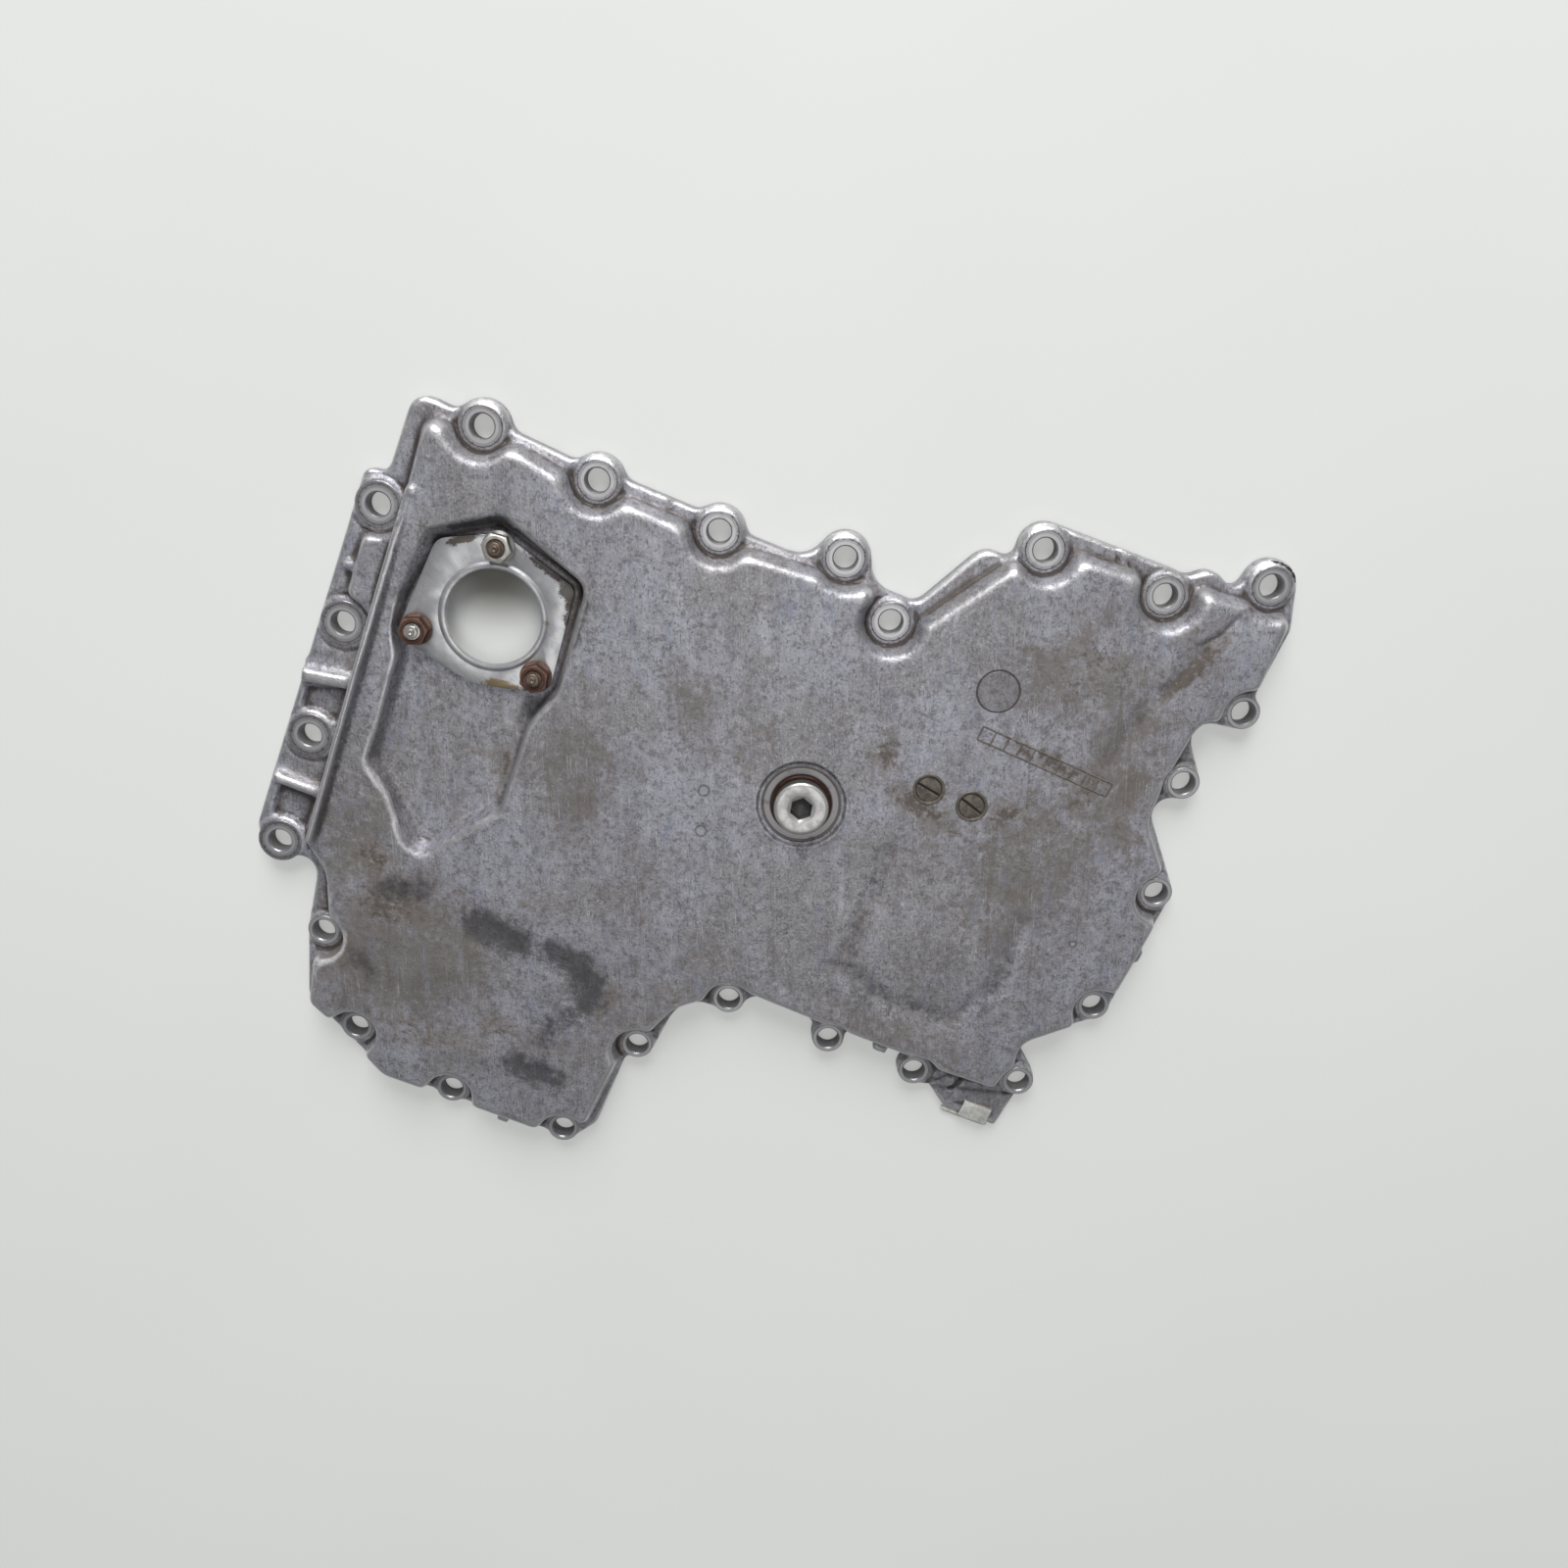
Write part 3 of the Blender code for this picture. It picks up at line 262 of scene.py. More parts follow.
class StageSettings(bpy.types.PropertyGroup):
    """Floor, lamps and camera."""

    floor: FloatVectorProperty(name="Floor", description="Backdrop", subtype="COLOR",
                               default=(0.80, 0.81, 0.79))
    key: FloatProperty(name="Key lamp", description="Power of the large soft lamp", default=44.0,
                       unit="POWER")
    fill: FloatProperty(name="Fill lamp", description="Power of the overhead lamp", default=3.2,
                        unit="POWER")
    sky: FloatProperty(name="Sky", description="Strength of the even light", default=0.22)
    glow: FloatProperty(name="Floor glow", description="Share of the floor that shadows leave pale",
                        default=0.42)
    lens: FloatProperty(name="Lens", description="Focal length in millimetres", default=28.52)


class Graph:
    """Short calls for building a node tree."""

    def __init__(self, tree):
        self.tree = tree

    def node(self, kind, inputs=None, **settings):
        made = self.tree.nodes.new(kind)
        for name, value in settings.items():
            setattr(made, name, value)
        for key, value in (inputs or {}).items():
            self.feed(made.inputs[key], value)
        return made

    def feed(self, socket, value):
        if isinstance(value, bpy.types.NodeSocket):
            self.tree.links.new(value, socket)
        elif socket.type == "RGBA" and len(value) == 3:
            socket.default_value = (*value, 1.0)
        else:
            socket.default_value = value

    def maths(self, operation, first, second=0.0):
        return self.node("ShaderNodeMath", {0: first, 1: second}, operation=operation).outputs[0]

    def times(self, first, second):
        return self.maths("MULTIPLY", first, second)

    def plus(self, first, second):
        return self.maths("ADD", first, second)

    def less(self, first, second):
        return self.maths("SUBTRACT", first, second)

    def vector_maths(self, operation, first, second=(0.0, 0.0, 0.0)):
        return self.node("ShaderNodeVectorMath", {0: first, 1: second}, operation=operation).outputs

    def distance(self, first, second):
        return self.vector_maths("DISTANCE", first, second)["Value"]

    def turned(self, vector, angle):
        """The vector turned about Z."""
        inputs = {"Vector": vector, "Angle": angle}
        return self.node("ShaderNodeVectorRotate", inputs, rotation_type="Z_AXIS").outputs[0]

    def noise(self, vector, scale, detail=4.0, rough=0.6, twist=0.0):
        inputs = {"Vector": vector, "Scale": scale, "Detail": detail, "Roughness": rough,
                  "Distortion": twist}
        return self.node("ShaderNodeTexNoise", inputs).outputs["Fac"]

    def spread(self, value, low, high, bottom=0.0, top=1.0):
        """Maps low to high smoothly onto bottom to top."""
        inputs = {"Value": value, "From Min": low, "From Max": high, "To Min": bottom, "To Max": top}
        made = self.node("ShaderNodeMapRange", inputs, interpolation_type="SMOOTHSTEP")
        return made.outputs["Result"]

    def mix(self, amount, first, second):
        """Colour sockets of the mix node are its inputs 6 and 7 and its output 2."""
        made = self.node("ShaderNodeMix", data_type="RGBA", clamp_factor=True)
        for number, value in ((0, amount), (6, first), (7, second)):
            self.feed(made.inputs[number], value)
        return made.outputs[2]

    def cover(self, colour, mask, share, tone):
        """The tone over the colour where the mask is, at most by a share."""
        return self.mix(self.times(mask, share), colour, tone)

    def fade(self, colour, value, low, high, share, tone):
        """The tone over the colour as a value goes from low to high, at most by a share."""
        return self.mix(self.spread(value, low, high, 0.0, share), colour, tone)

    def stretched(self, vector, scale, turn=0.0):
        """The vector turned about Z by some degrees, then scaled along each axis."""
        return self.vector_maths("MULTIPLY", self.turned(vector, math.radians(turn)), scale)[0]

    def attribute(self, name):
        return self.node("ShaderNodeAttribute", attribute_name=name).outputs["Fac"]

    def moved(self, geometry, place, turn=(0.0, 0.0, 0.0)):
        inputs = {"Geometry": geometry, "Translation": place, "Rotation": turn}
        return self.node("GeometryNodeTransform", inputs).outputs[0]

    def upright(self, **parts):
        """A vector from separate X, Y and Z values."""
        return self.node("ShaderNodeCombineXYZ", parts).outputs[0]


def mask_group(name, **numbers):
    """An empty shader group from a Vector and other inputs to one Mask; an input of None is a vector."""
    tree = bpy.data.node_groups.new(name, "ShaderNodeTree")
    for label, value in {"Vector": None, **numbers}.items():
        kind = "NodeSocketVector" if value is None else "NodeSocketFloat"
        socket = tree.interface.new_socket(name=label, in_out="INPUT", socket_type=kind)
        if value is not None:
            socket.default_value = value
    tree.interface.new_socket(name="Mask", in_out="OUTPUT", socket_type="NodeSocketFloat")
    graph = Graph(tree)
    return graph, graph.node("NodeGroupInput").outputs, graph.node("NodeGroupOutput").inputs["Mask"]


def fill_mask(graph, mask, first, share, second, start, cover, soft):
    """The mask of two noises mixed by a share; cover lowers the level at which it starts."""
    mixed = graph.plus(graph.times(first, share), graph.times(second, round(1.0 - share, 2)))
    low = graph.less(start, graph.times(*cover))
    graph.feed(mask, graph.spread(mixed, low, graph.plus(low, soft)))
    return graph.tree


def make_blotches_group():
    """Irregular dirt in clumps with torn edges, and a fine breakup inside them."""
    graph, given, mask = mask_group("blotches", Size=20.0, Cover=0.5)
    broad = graph.noise(given["Vector"], graph.maths("DIVIDE", 1.0, given["Size"]), 6.0, 0.62, 0.6)
    fine = graph.noise(given["Vector"], graph.maths("DIVIDE", 9.0, given["Size"]), 5.0, 0.7)
    return fill_mask(graph, mask, broad, 0.72, fine, 0.66, (given["Cover"], 0.3), 0.09)


def make_specks_group():
    """Small scattered spots, about Size millimetres apart."""
    graph, given, mask = mask_group("specks", Size=2.0, Cover=0.3)
    scale = graph.maths("DIVIDE", 1.0, given["Size"])
    spots = graph.noise(given["Vector"], scale, 3.0, 0.75)
    clumps = graph.noise(given["Vector"], graph.times(scale, 0.13), 3.0, 0.6)
    return fill_mask(graph, mask, spots, 0.7, clumps, 0.68, (given["Cover"], 0.2), 0.05)


def make_scratches_group():
    """Thin straight marks that run along the turned Y axis and come and go."""
    graph, given, mask = mask_group("scratches", Turn=0.0, Cover=0.3)
    along = graph.turned(given["Vector"], given["Turn"])
    lines = graph.noise(graph.stretched(along, (1.4, 0.05, 1.4)), 1.0, 3.0, 0.8)
    gaps = graph.noise(graph.stretched(along, (0.12, 0.03, 0.12)), 1.0, 2.0, 0.5)
    return fill_mask(graph, mask, lines, 0.75, gaps, 0.66, (given["Cover"], 0.2), 0.06)


def make_patch_group():
    """One torn patch: a turned ellipse round a centre, with its half sizes in millimetres."""
    graph, given, mask = mask_group("patch", Centre=None, Half=None, Turn=0.0, Torn=1.0)
    local = graph.vector_maths("SUBTRACT", given["Vector"], given["Centre"])[0]
    scaled = graph.vector_maths("DIVIDE", graph.turned(local, given["Turn"]), given["Half"])[0]
    away = graph.vector_maths("LENGTH", scaled)["Value"]
    broad = graph.noise(given["Vector"], 0.45, 5.0, 0.75)
    torn = graph.times(graph.less(broad, 0.5), graph.times(given["Torn"], 3.0))
    graph.feed(mask, graph.spread(graph.plus(away, torn), 1.1, 0.7))
    return graph.tree


GROUP_MAKERS = {"blotches": make_blotches_group, "specks": make_specks_group,
                "scratches": make_scratches_group, "patch": make_patch_group}
GROUPS = {}


def effect(graph, name, vector, **inputs):
    """The mask of a shared effect, which is made when it is first asked for."""
    if name not in GROUPS:
        GROUPS[name] = GROUP_MAKERS[name]()
    return graph.node("ShaderNodeGroup", {"Vector": vector, **inputs},
                      node_tree=GROUPS[name]).outputs["Mask"]


def begin_material(name):
    """A node material with only a Principled shader, and the object's place in millimetres."""
    material = bpy.data.materials.new(name)
    material.use_nodes = True
    graph = Graph(material.node_tree)
    shader = material.node_tree.nodes["Principled BSDF"]
    place = graph.node("ShaderNodeTexCoord").outputs["Object"]
    return material, graph, shader, graph.vector_maths("MULTIPLY", place, PER_METRE)[0]


def set_bump(graph, shader, height, depth):
    """Feeds a height from 0 to 1 to the shader's normal, depth in millimetres."""
    bump = graph.node("ShaderNodeBump", {"Height": height, "Strength": 1.0, "Distance": depth * MM})
    graph.feed(shader.inputs["Normal"], bump.outputs["Normal"])


def tinted(colour, *shares):
    return tuple(value * share for value, share in zip(colour, shares))


def cast_colour(graph, place, settings, marks):
    """Clouds, streaks, mottling and films of dirt, with painted shade in the hollows and along some smears
    and a painted highlight on the convex edges; gives the colour and the masks that the finish needs.
    """
    edge, crevice, smear_and_shade, dirt, dull = marks
    skin, brown, bright = tuple(settings.skin), tuple(settings.dirt), tuple(settings.bright)

    def streaky(scale, detail, rough):
        return graph.noise(graph.stretched(place, scale, STREAK_TURN), 1.0, detail, rough)

    def swing(value, share):
        """A noise as a swing to both sides of zero."""
        return graph.times(graph.less(value, 0.5), share)

    clouds = graph.noise(place, 0.03, 4.0, 0.6)
    streaks = streaky((0.13, 0.022, 0.1), 5.0, 0.68)
    mottle = graph.noise(place, 0.36, 6.0, 0.72)
    torn = graph.noise(place, 0.7, 4.0, 0.7)
    dashes = streaky((1.3, 0.3, 1.0), 3.0, 0.7)
    grain = graph.noise(place, 1.0, 4.0, 0.8)
    colour = graph.mix(graph.spread(clouds, 0.38, 0.62), tinted(skin, 1.1, 1.1, 1.15),
                       tinted(skin, 0.86, 0.84, 0.8))
    for value, low, high, share, tone in (
            (streaks, 0.48, 0.68, 0.65, (0.6, 0.57, 0.55)), (streaks, 0.46, 0.3, 0.7, (1.45, 1.45, 1.47)),
            (mottle, 0.5, 0.62, 0.75, (0.48, 0.46, 0.45)), (mottle, 0.45, 0.34, 0.45, (1.5, 1.47, 1.44)),
            (dashes, 0.56, 0.66, 0.8, (0.36, 0.34, 0.33)), (dashes, 0.42, 0.3, 0.35, (1.7, 1.7, 1.7)),
            (grain, 0.48, 0.68, 0.4, (1.9, 1.86, 1.82)), (grain, 0.46, 0.32, 0.55, (0.42, 0.41, 0.41))):
        colour = graph.fade(colour, value, low, high, share, tinted(skin, *tone))
    uneven = graph.plus(swing(graph.noise(place, 0.07, 5.0, 0.7), 1.6), swing(mottle, 1.2))
    darker = graph.spread(graph.plus(dull, uneven), 0.0, 1.0, 0.0, 0.76)
    colour = graph.mix(darker, colour, tinted(skin, 0.44, 0.395, 0.325))
    tint = graph.spread(streaky((0.2, 0.045, 0.1), 4.0, 0.7), 0.56, 0.72, 0.0, 0.5)
    colour = graph.mix(tint, colour, tinted(skin, 0.72, 0.8, 1.0))
    runs = graph.spread(streaky((0.42, 0.02, 0.1), 4.0, 0.7), 0.54, 0.68)
    colour = graph.mix(graph.times(runs, graph.spread(darker, 0.05, 0.5, 0.12, 0.6)), colour, brown)
    scratch = effect(graph, "scratches", place, Turn=math.radians(STREAK_TURN), Cover=0.4)
    colour = graph.cover(colour, scratch, 0.42, bright)
    cover = graph.plus(graph.plus(graph.times(dirt, 0.62), graph.times(darker, 0.2)), 0.18)
    film = effect(graph, "blotches", place, Size=22.0, Cover=cover)
    fine_film = effect(graph, "blotches", place, Size=6.0, Cover=cover)
    film = graph.maths("MAXIMUM", film, graph.times(fine_film, 0.85))
    colour = graph.cover(colour, film, 0.6, brown)
    thick = graph.spread(graph.plus(dirt, swing(mottle, 2.4)), 0.85, 1.3, 0.0, 0.72)
    colour = graph.mix(thick, colour, (0.093, 0.074, 0.058))
    crust = effect(graph, "specks", place, Size=1.7, Cover=graph.spread(dirt, 0.0, 1.2, 0.03, 0.5))
    colour = graph.cover(colour, crust, 0.6, (0.40, 0.35, 0.29))
    # Smears go near black: oil, and painted shade along edges, gaps and the drain's rings
    ragged = swing(graph.noise(place, 0.22, 6.0, 0.75), 1.5)
    oil_and_shade = graph.spread(graph.plus(smear_and_shade, ragged), 0.25, 0.85, 0.0, 0.78)
    colour = graph.mix(oil_and_shade, colour, (0.055, 0.052, 0.055))
    # Hollows go dark brown: dirt and painted shade together
    deep = graph.spread(graph.plus(crevice, graph.times(torn, 0.6)), 0.5, 1.05, 0.0, 0.88)
    colour = graph.mix(deep, colour, (0.07, 0.056, 0.047))
    pits = effect(graph, "specks", graph.stretched(place, (1.0, 1.0, 1.0), 40.0), Size=1.0, Cover=0.24)
    field_x, field_y, field_radius = ROUND_FIELD
    away = graph.distance(place, (field_x, field_y, PAN))
    from_ring = graph.maths("ABSOLUTE", graph.less(away, field_radius))
    pits = graph.maths("MAXIMUM", pits, graph.spread(from_ring, 0.5, 0.2))
    colour = graph.fade(colour, away, 8.4, 7.6, 0.35, (0.13, 0.12, 0.115))
    for x, y, radius, _ in EJECTORS[:3]:
        away = graph.plus(graph.distance(place, (x, y, PAN)), graph.times(torn, 1.2))
        colour = graph.fade(colour, away, radius + 0.7, radius, 0.7, (0.11, 0.105, 0.11))
        colour = graph.mix(graph.spread(away, radius - 0.1, radius - 0.9, 0.0, 0.85), colour,
                           tinted(skin, 1.2, 1.2, 1.2))
    colour = graph.cover(colour, pits, 0.8, (0.04, 0.035, 0.033))
    # Convex edges go bright: worn metal and a painted highlight together
    rubbed_and_highlit = graph.spread(graph.plus(edge, graph.times(torn, 0.55)), 0.6, 1.02, 0.0, 0.85)
    colour = graph.mix(rubbed_and_highlit, colour, bright)
    return colour, film, rubbed_and_highlit, oil_and_shade, darker, pits, mottle, scratch


def cast_material(settings):
    """Grey cast aluminium, from clean and pale at the top to brown and dull low down and on the right."""
    material, graph, shader, place = begin_material("cast_skin")
    marks = [graph.attribute(name) for name in MARKS]
    colour, film, rubbed_and_highlit, oil_and_shade, darker, pits, mottle, scratch = cast_colour(graph, place, settings, marks)
    graph.feed(shader.inputs["Base Color"], colour)
    metal = graph.less(graph.less(rubbed_and_highlit, film), graph.times(darker, 0.6))
    graph.feed(shader.inputs["Metallic"], graph.spread(metal, -1.0, 0.9, 0.2, 0.92))
    rough = graph.spread(graph.noise(place, 0.2, 4.0, 0.6), 0.3, 0.7, 0.36, 0.5)
    rough = graph.plus(rough, graph.times(film, 0.14))
    rough = graph.less(rough, graph.times(rubbed_and_highlit, 0.08))
    graph.feed(shader.inputs["Roughness"], graph.less(rough, graph.times(oil_and_shade, 0.1)))
    grain = graph.plus(graph.noise(place, 1.3, 4.0, 0.65), graph.times(pits, -0.9))
    grain = graph.plus(grain, graph.times(mottle, 1.6))
    set_bump(graph, shader, graph.less(grain, graph.times(scratch, 0.3)), 0.13)
    return material


def machined_material():
    """Milled metal with fine rings and pits round each bolt, from the piece's own map; painted bands add a
    highlight round each hole's edge, shade in the drain's groove and a shadow under the plug head.
    """
    material, graph, shader, place = begin_material("machined_face")
    chart = graph.node("ShaderNodeUVMap", uv_map="machining").outputs["UV"]
    distance = graph.vector_maths("LENGTH", chart)["Value"]
    rings = graph.noise(graph.upright(X=graph.times(distance, 2.6)), 1.0, 2.0, 0.5)
    stains = effect(graph, "blotches", place, Size=8.0, Cover=0.4)
    pits = effect(graph, "specks", place, Size=0.9, Cover=0.3)

    def band(start, full, end, still):
        return graph.times(graph.spread(distance, start, full), graph.spread(distance, end, still))

    colour = graph.mix(graph.spread(rings, 0.3, 0.7), (0.27, 0.265, 0.27), (0.42, 0.41, 0.42))
    colour = graph.cover(colour, stains, 0.55, (0.25, 0.23, 0.215))
    outer = graph.times(band(5.4, 7.0, 10.0, 9.0), graph.noise(place, 0.8, 4.0, 0.75))
    colour = graph.fade(colour, outer, 0.5, 0.62, 0.75, (0.05, 0.042, 0.04))
    # By distance from the centre: a dark ring at the seat's edge, the skin's tone beyond it, a painted
    # highlight round the hole's edge, a darker ring round the drain, painted shade in the drain's groove, and
    # a painted shadow under the plug head
    for radii, share, tone in (
            ((6.9, 7.3, 8.1, 7.7), 0.6, (0.11, 0.1, 0.1)),
            ((7.5, 8.0, 11.0, 10.5), 0.45, (0.24, 0.235, 0.25)),
            ((4.9, 5.1, 6.4, 5.9), 0.5, (0.62, 0.61, 0.62)),
            ((12.0, 12.4, 15.4, 15.0), 0.5, (0.17, 0.155, 0.145)),
            ((14.5, 14.9, 15.9, 15.5), 0.85, (0.06, 0.053, 0.048)),
            ((9.5, 10.0, 12.7, 12.3), 0.9, (0.04, 0.035, 0.033))):
        colour = graph.mix(graph.times(band(*radii), share), colour, tone)
    colour = graph.cover(colour, pits, 0.7, (0.06, 0.052, 0.05))
    graph.feed(shader.inputs["Base Color"], colour)
    shader.inputs["Metallic"].default_value = 0.7
    graph.feed(shader.inputs["Roughness"], graph.spread(stains, 0.0, 1.0, 0.34, 0.52))
    set_bump(graph, shader, graph.less(rings, pits), 0.04)
    return material


def plate_material(plate):
    """Satin plated sheet with cloudy stains, brown sealant remains and dark grease."""
    material, graph, shader, place = begin_material("plate_steel")
    steel = tuple(plate.steel)
    clouds = graph.noise(place, 0.12, 4.0, 0.55)
    colour = graph.mix(graph.spread(clouds, 0.38, 0.64), steel, tinted(steel, 0.72, 0.72, 0.75))
    fine = graph.noise(graph.stretched(place, (1.4, 0.2, 1.0), -60.0), 1.0, 4.0, 0.7)
    colour = graph.fade(colour, fine, 0.45, 0.7, 0.25, tinted(steel, 0.45, 0.44, 0.42))
    freckles = effect(graph, "specks", place, Size=1.6, Cover=0.18)
    colour = graph.cover(colour, freckles, 0.6, (0.16, 0.13, 0.11))
    for mark_x, mark_y, long, wide, turn, tone in PLATE_STAINS:
        mask = effect(graph, "patch", place, Centre=(mark_x, mark_y, 9.8), Half=(long, wide, 1000.0),
                      Turn=math.radians(-turn), Torn=0.75)
        colour = graph.cover(colour, mask, 0.9, tone)
    graph.feed(shader.inputs["Base Color"], colour)
    shader.inputs["Metallic"].default_value = 0.72
    graph.feed(shader.inputs["Roughness"], graph.spread(clouds, 0.3, 0.7, 0.3, 0.44))
    set_bump(graph, shader, graph.plus(clouds, graph.times(fine, 0.3)), 0.05)
    return material


def metal_material(name, colour, dark, cover, metallic, roughness, grain=0.04, size=4.0, worn=None):
    """Metal with stains: its clean colour, the stain's colour and cover, and a colour for worn chamfers that
    is partly a painted highlight, with painted shade on the faces that look sideways or down.
    """
    material, graph, shader, place = begin_material(name)
    stains = effect(graph, "blotches", place, Size=size, Cover=cover)
    specks = effect(graph, "specks", place, Size=0.6, Cover=cover)
    tone = graph.mix(graph.spread(graph.noise(place, 0.5, 4.0, 0.6), 0.35, 0.65), colour,
                     tinted(colour, 0.72, 0.72, 0.72))
    tone = graph.cover(tone, stains, 0.85, dark)
    tone = graph.cover(tone, specks, 0.6, tinted(dark, 0.5, 0.5, 0.5))
    if worn:
        # Slanted faces take the worn colour, partly wear and partly a painted highlight; faces that look
        # sideways or down take painted shade
        normal = graph.node("ShaderNodeNewGeometry").outputs["Normal"]
        upward = graph.node("ShaderNodeSeparateXYZ", {"Vector": normal}).outputs["Z"]
        slanted = graph.times(graph.spread(upward, 0.4, 0.7), graph.spread(upward, 0.99, 0.93))
        tone = graph.cover(tone, slanted, 0.8, worn)
        tone = graph.fade(tone, upward, 0.35, 0.05, 0.65, tinted(dark, 0.6, 0.6, 0.6))
    graph.feed(shader.inputs["Base Color"], tone)
    graph.feed(shader.inputs["Metallic"], graph.spread(stains, 0.0, 1.0, metallic, metallic * 0.35))
    graph.feed(shader.inputs["Roughness"],
               graph.spread(stains, 0.0, 1.0, roughness, min(roughness + 0.3, 0.95)))
    height = graph.plus(graph.noise(place, 2.5, 4.0, 0.7), graph.times(stains, 0.6))
    set_bump(graph, shader, height, grain)
    return material


def plug_material(top):
    """Worn plated steel, darkened by oil and painted shade down in the key socket and under the head's edge.
    """
    material, graph, shader, place = begin_material("plug_steel")
    clouds = graph.noise(place, 0.35, 4.0, 0.6)
    colour = graph.mix(graph.spread(clouds, 0.38, 0.62), (0.56, 0.55, 0.54), (0.45, 0.43, 0.40))
    specks = effect(graph, "specks", place, Size=0.8, Cover=0.3)
    colour = graph.cover(colour, specks, 0.6, (0.12, 0.1, 0.09))
    # Oil and painted shade: all below half a millimetre under the head's top goes near black, the key socket
    # and the head's sides
    height = graph.node("ShaderNodeSeparateXYZ", {"Vector": place}).outputs["Z"]
    sunk = graph.spread(height, top - 0.5, top - 1.0)
    colour = graph.cover(colour, sunk, 0.92, (0.018, 0.016, 0.015))
    graph.feed(shader.inputs["Base Color"], colour)
    graph.feed(shader.inputs["Metallic"], graph.spread(sunk, 0.0, 1.0, 0.6, 0.1))
    graph.feed(shader.inputs["Roughness"], graph.spread(clouds, 0.3, 0.7, 0.28, 0.42))
    set_bump(graph, shader, graph.less(clouds, graph.times(specks, 0.4)), 0.03)
    return material


def link(obj):
    bpy.context.scene.collection.objects.link(obj)
    return obj


def mesh_object(name, points, faces):
    mesh = bpy.data.meshes.new(name)
    mesh.from_pydata([tuple(point) for point in points], [], faces)
    mesh.validate()
    return link(bpy.data.objects.new(name, mesh))


def read_rows(items, name):
    """One vector per item of a mesh, as rows."""
    values = np.empty(len(items) * 3, np.float32)
    items.foreach_get(name, values)
    return values.reshape(-1, 3)


def coords(mesh):
    return read_rows(mesh.vertices, "co").astype(float)


def normals(mesh):
    return read_rows(mesh.vertices, "normal").astype(float)


def set_coords(mesh, values):
    mesh.vertices.foreach_set("co", values.astype(np.float32).ravel())
    mesh.update()


def flatten_modifiers(obj):
    """Turns an object's modifiers into its plain mesh."""
    graph = bpy.context.evaluated_depsgraph_get()
    mesh = bpy.data.meshes.new_from_object(obj.evaluated_get(graph), depsgraph=graph)
    old = obj.data
    obj.modifiers.clear()
    obj.data = mesh
    bpy.data.meshes.remove(old)
    return obj


def tidy_normals(obj):
    tools = bmesh.new()
    tools.from_mesh(obj.data)
    bmesh.ops.remove_doubles(tools, verts=tools.verts, dist=0.000001)
    bmesh.ops.recalc_face_normals(tools, faces=tools.faces)
    tools.to_mesh(obj.data)
    tools.free()
    return obj


def merge(name, objects):
    """One object from several, each with its own materials kept."""
    tools = bmesh.new()
    materials = []
    for obj in objects:
        start = len(tools.faces)
        tools.from_mesh(obj.data)
        tools.faces.ensure_lookup_table()
        offset = len(materials)
        for face in tools.faces[start:]:
            face.material_index += offset
        materials += list(obj.data.materials) or [None]
        bpy.data.objects.remove(obj)
    mesh = bpy.data.meshes.new(name)
    tools.to_mesh(mesh)
    tools.free()
    for material in materials:
        mesh.materials.append(material)
    return link(bpy.data.objects.new(name, mesh))


def shade(obj, degrees=35.0):
    obj.data.shade_smooth()
    obj.data.set_sharp_from_angle(angle=math.radians(degrees))
    return obj


def dress(obj, material, slot, *nodes):
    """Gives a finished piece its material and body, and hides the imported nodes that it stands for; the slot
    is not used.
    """
    if material is not None:
        obj.data.materials.clear()
        obj.data.materials.append(material)
        obj.data.polygons.foreach_set("material_index", np.zeros(len(obj.data.polygons), np.int32))
    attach(obj, BODY)
    if nodes:
        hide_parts(*nodes)
    return obj


def circle(centre, radius, count, turn=0.0):
    angles = np.arange(count) * math.tau / count + turn
    return [(centre[0] + radius * math.cos(a), centre[1] + radius * math.sin(a)) for a in angles]


def stacked(name, loops, closed_ends=True):
    """A surface through loops of equal length, each loop a list of (x, y, z) in millimetres."""
    count = len(loops[0])
    points = [(x * MM, y * MM, z * MM) for loop in loops for x, y, z in loop]
    faces = []
    for ring in range(len(loops) - 1):
        for place in range(count):
            after = (place + 1) % count
            base = ring * count
            faces.append((base + place, base + after, base + count + after, base + count + place))
    if closed_ends:
        faces.append(tuple(reversed(range(count))))
        faces.append(tuple(range((len(loops) - 1) * count, len(loops) * count)))
    return mesh_object(name, points, faces)


def turned(name, centre, profile, count=96, closed_ends=True):
    """A turned form from (height, radius) steps in millimetres."""
    loops = [[(x, y, height) for x, y in circle(centre, radius, count)] for height, radius in profile]
    return stacked(name, loops, closed_ends)


def turned_ring(name, centre, section, count=96):
    """A ring whose closed section is (height, radius) corners in millimetres."""
    return tidy_normals(turned(name, centre, [*section, section[0]], count, False))


def boolean(target, tool, operation):
    """Adds or cuts a closed helper, which is then deleted."""
    modifier = target.modifiers.new("cut", "BOOLEAN")
    modifier.operation = operation
    modifier.solver = "MANIFOLD"
    modifier.object = tool
    flatten_modifiers(target)
    bpy.data.objects.remove(tool)


def soft_ellipse(x, y, centre_x, centre_y, half_x, half_y, turn):
    """1 in the middle of a turned ellipse, falling smoothly to 0 outside it."""
    angle = math.radians(turn)
    along = (x - centre_x) * math.cos(angle) + (y - centre_y) * math.sin(angle)
    across = (y - centre_y) * math.cos(angle) - (x - centre_x) * math.sin(angle)
    return np.exp(-1.6 * ((along / half_x) ** 2 + (across / half_y) ** 2))


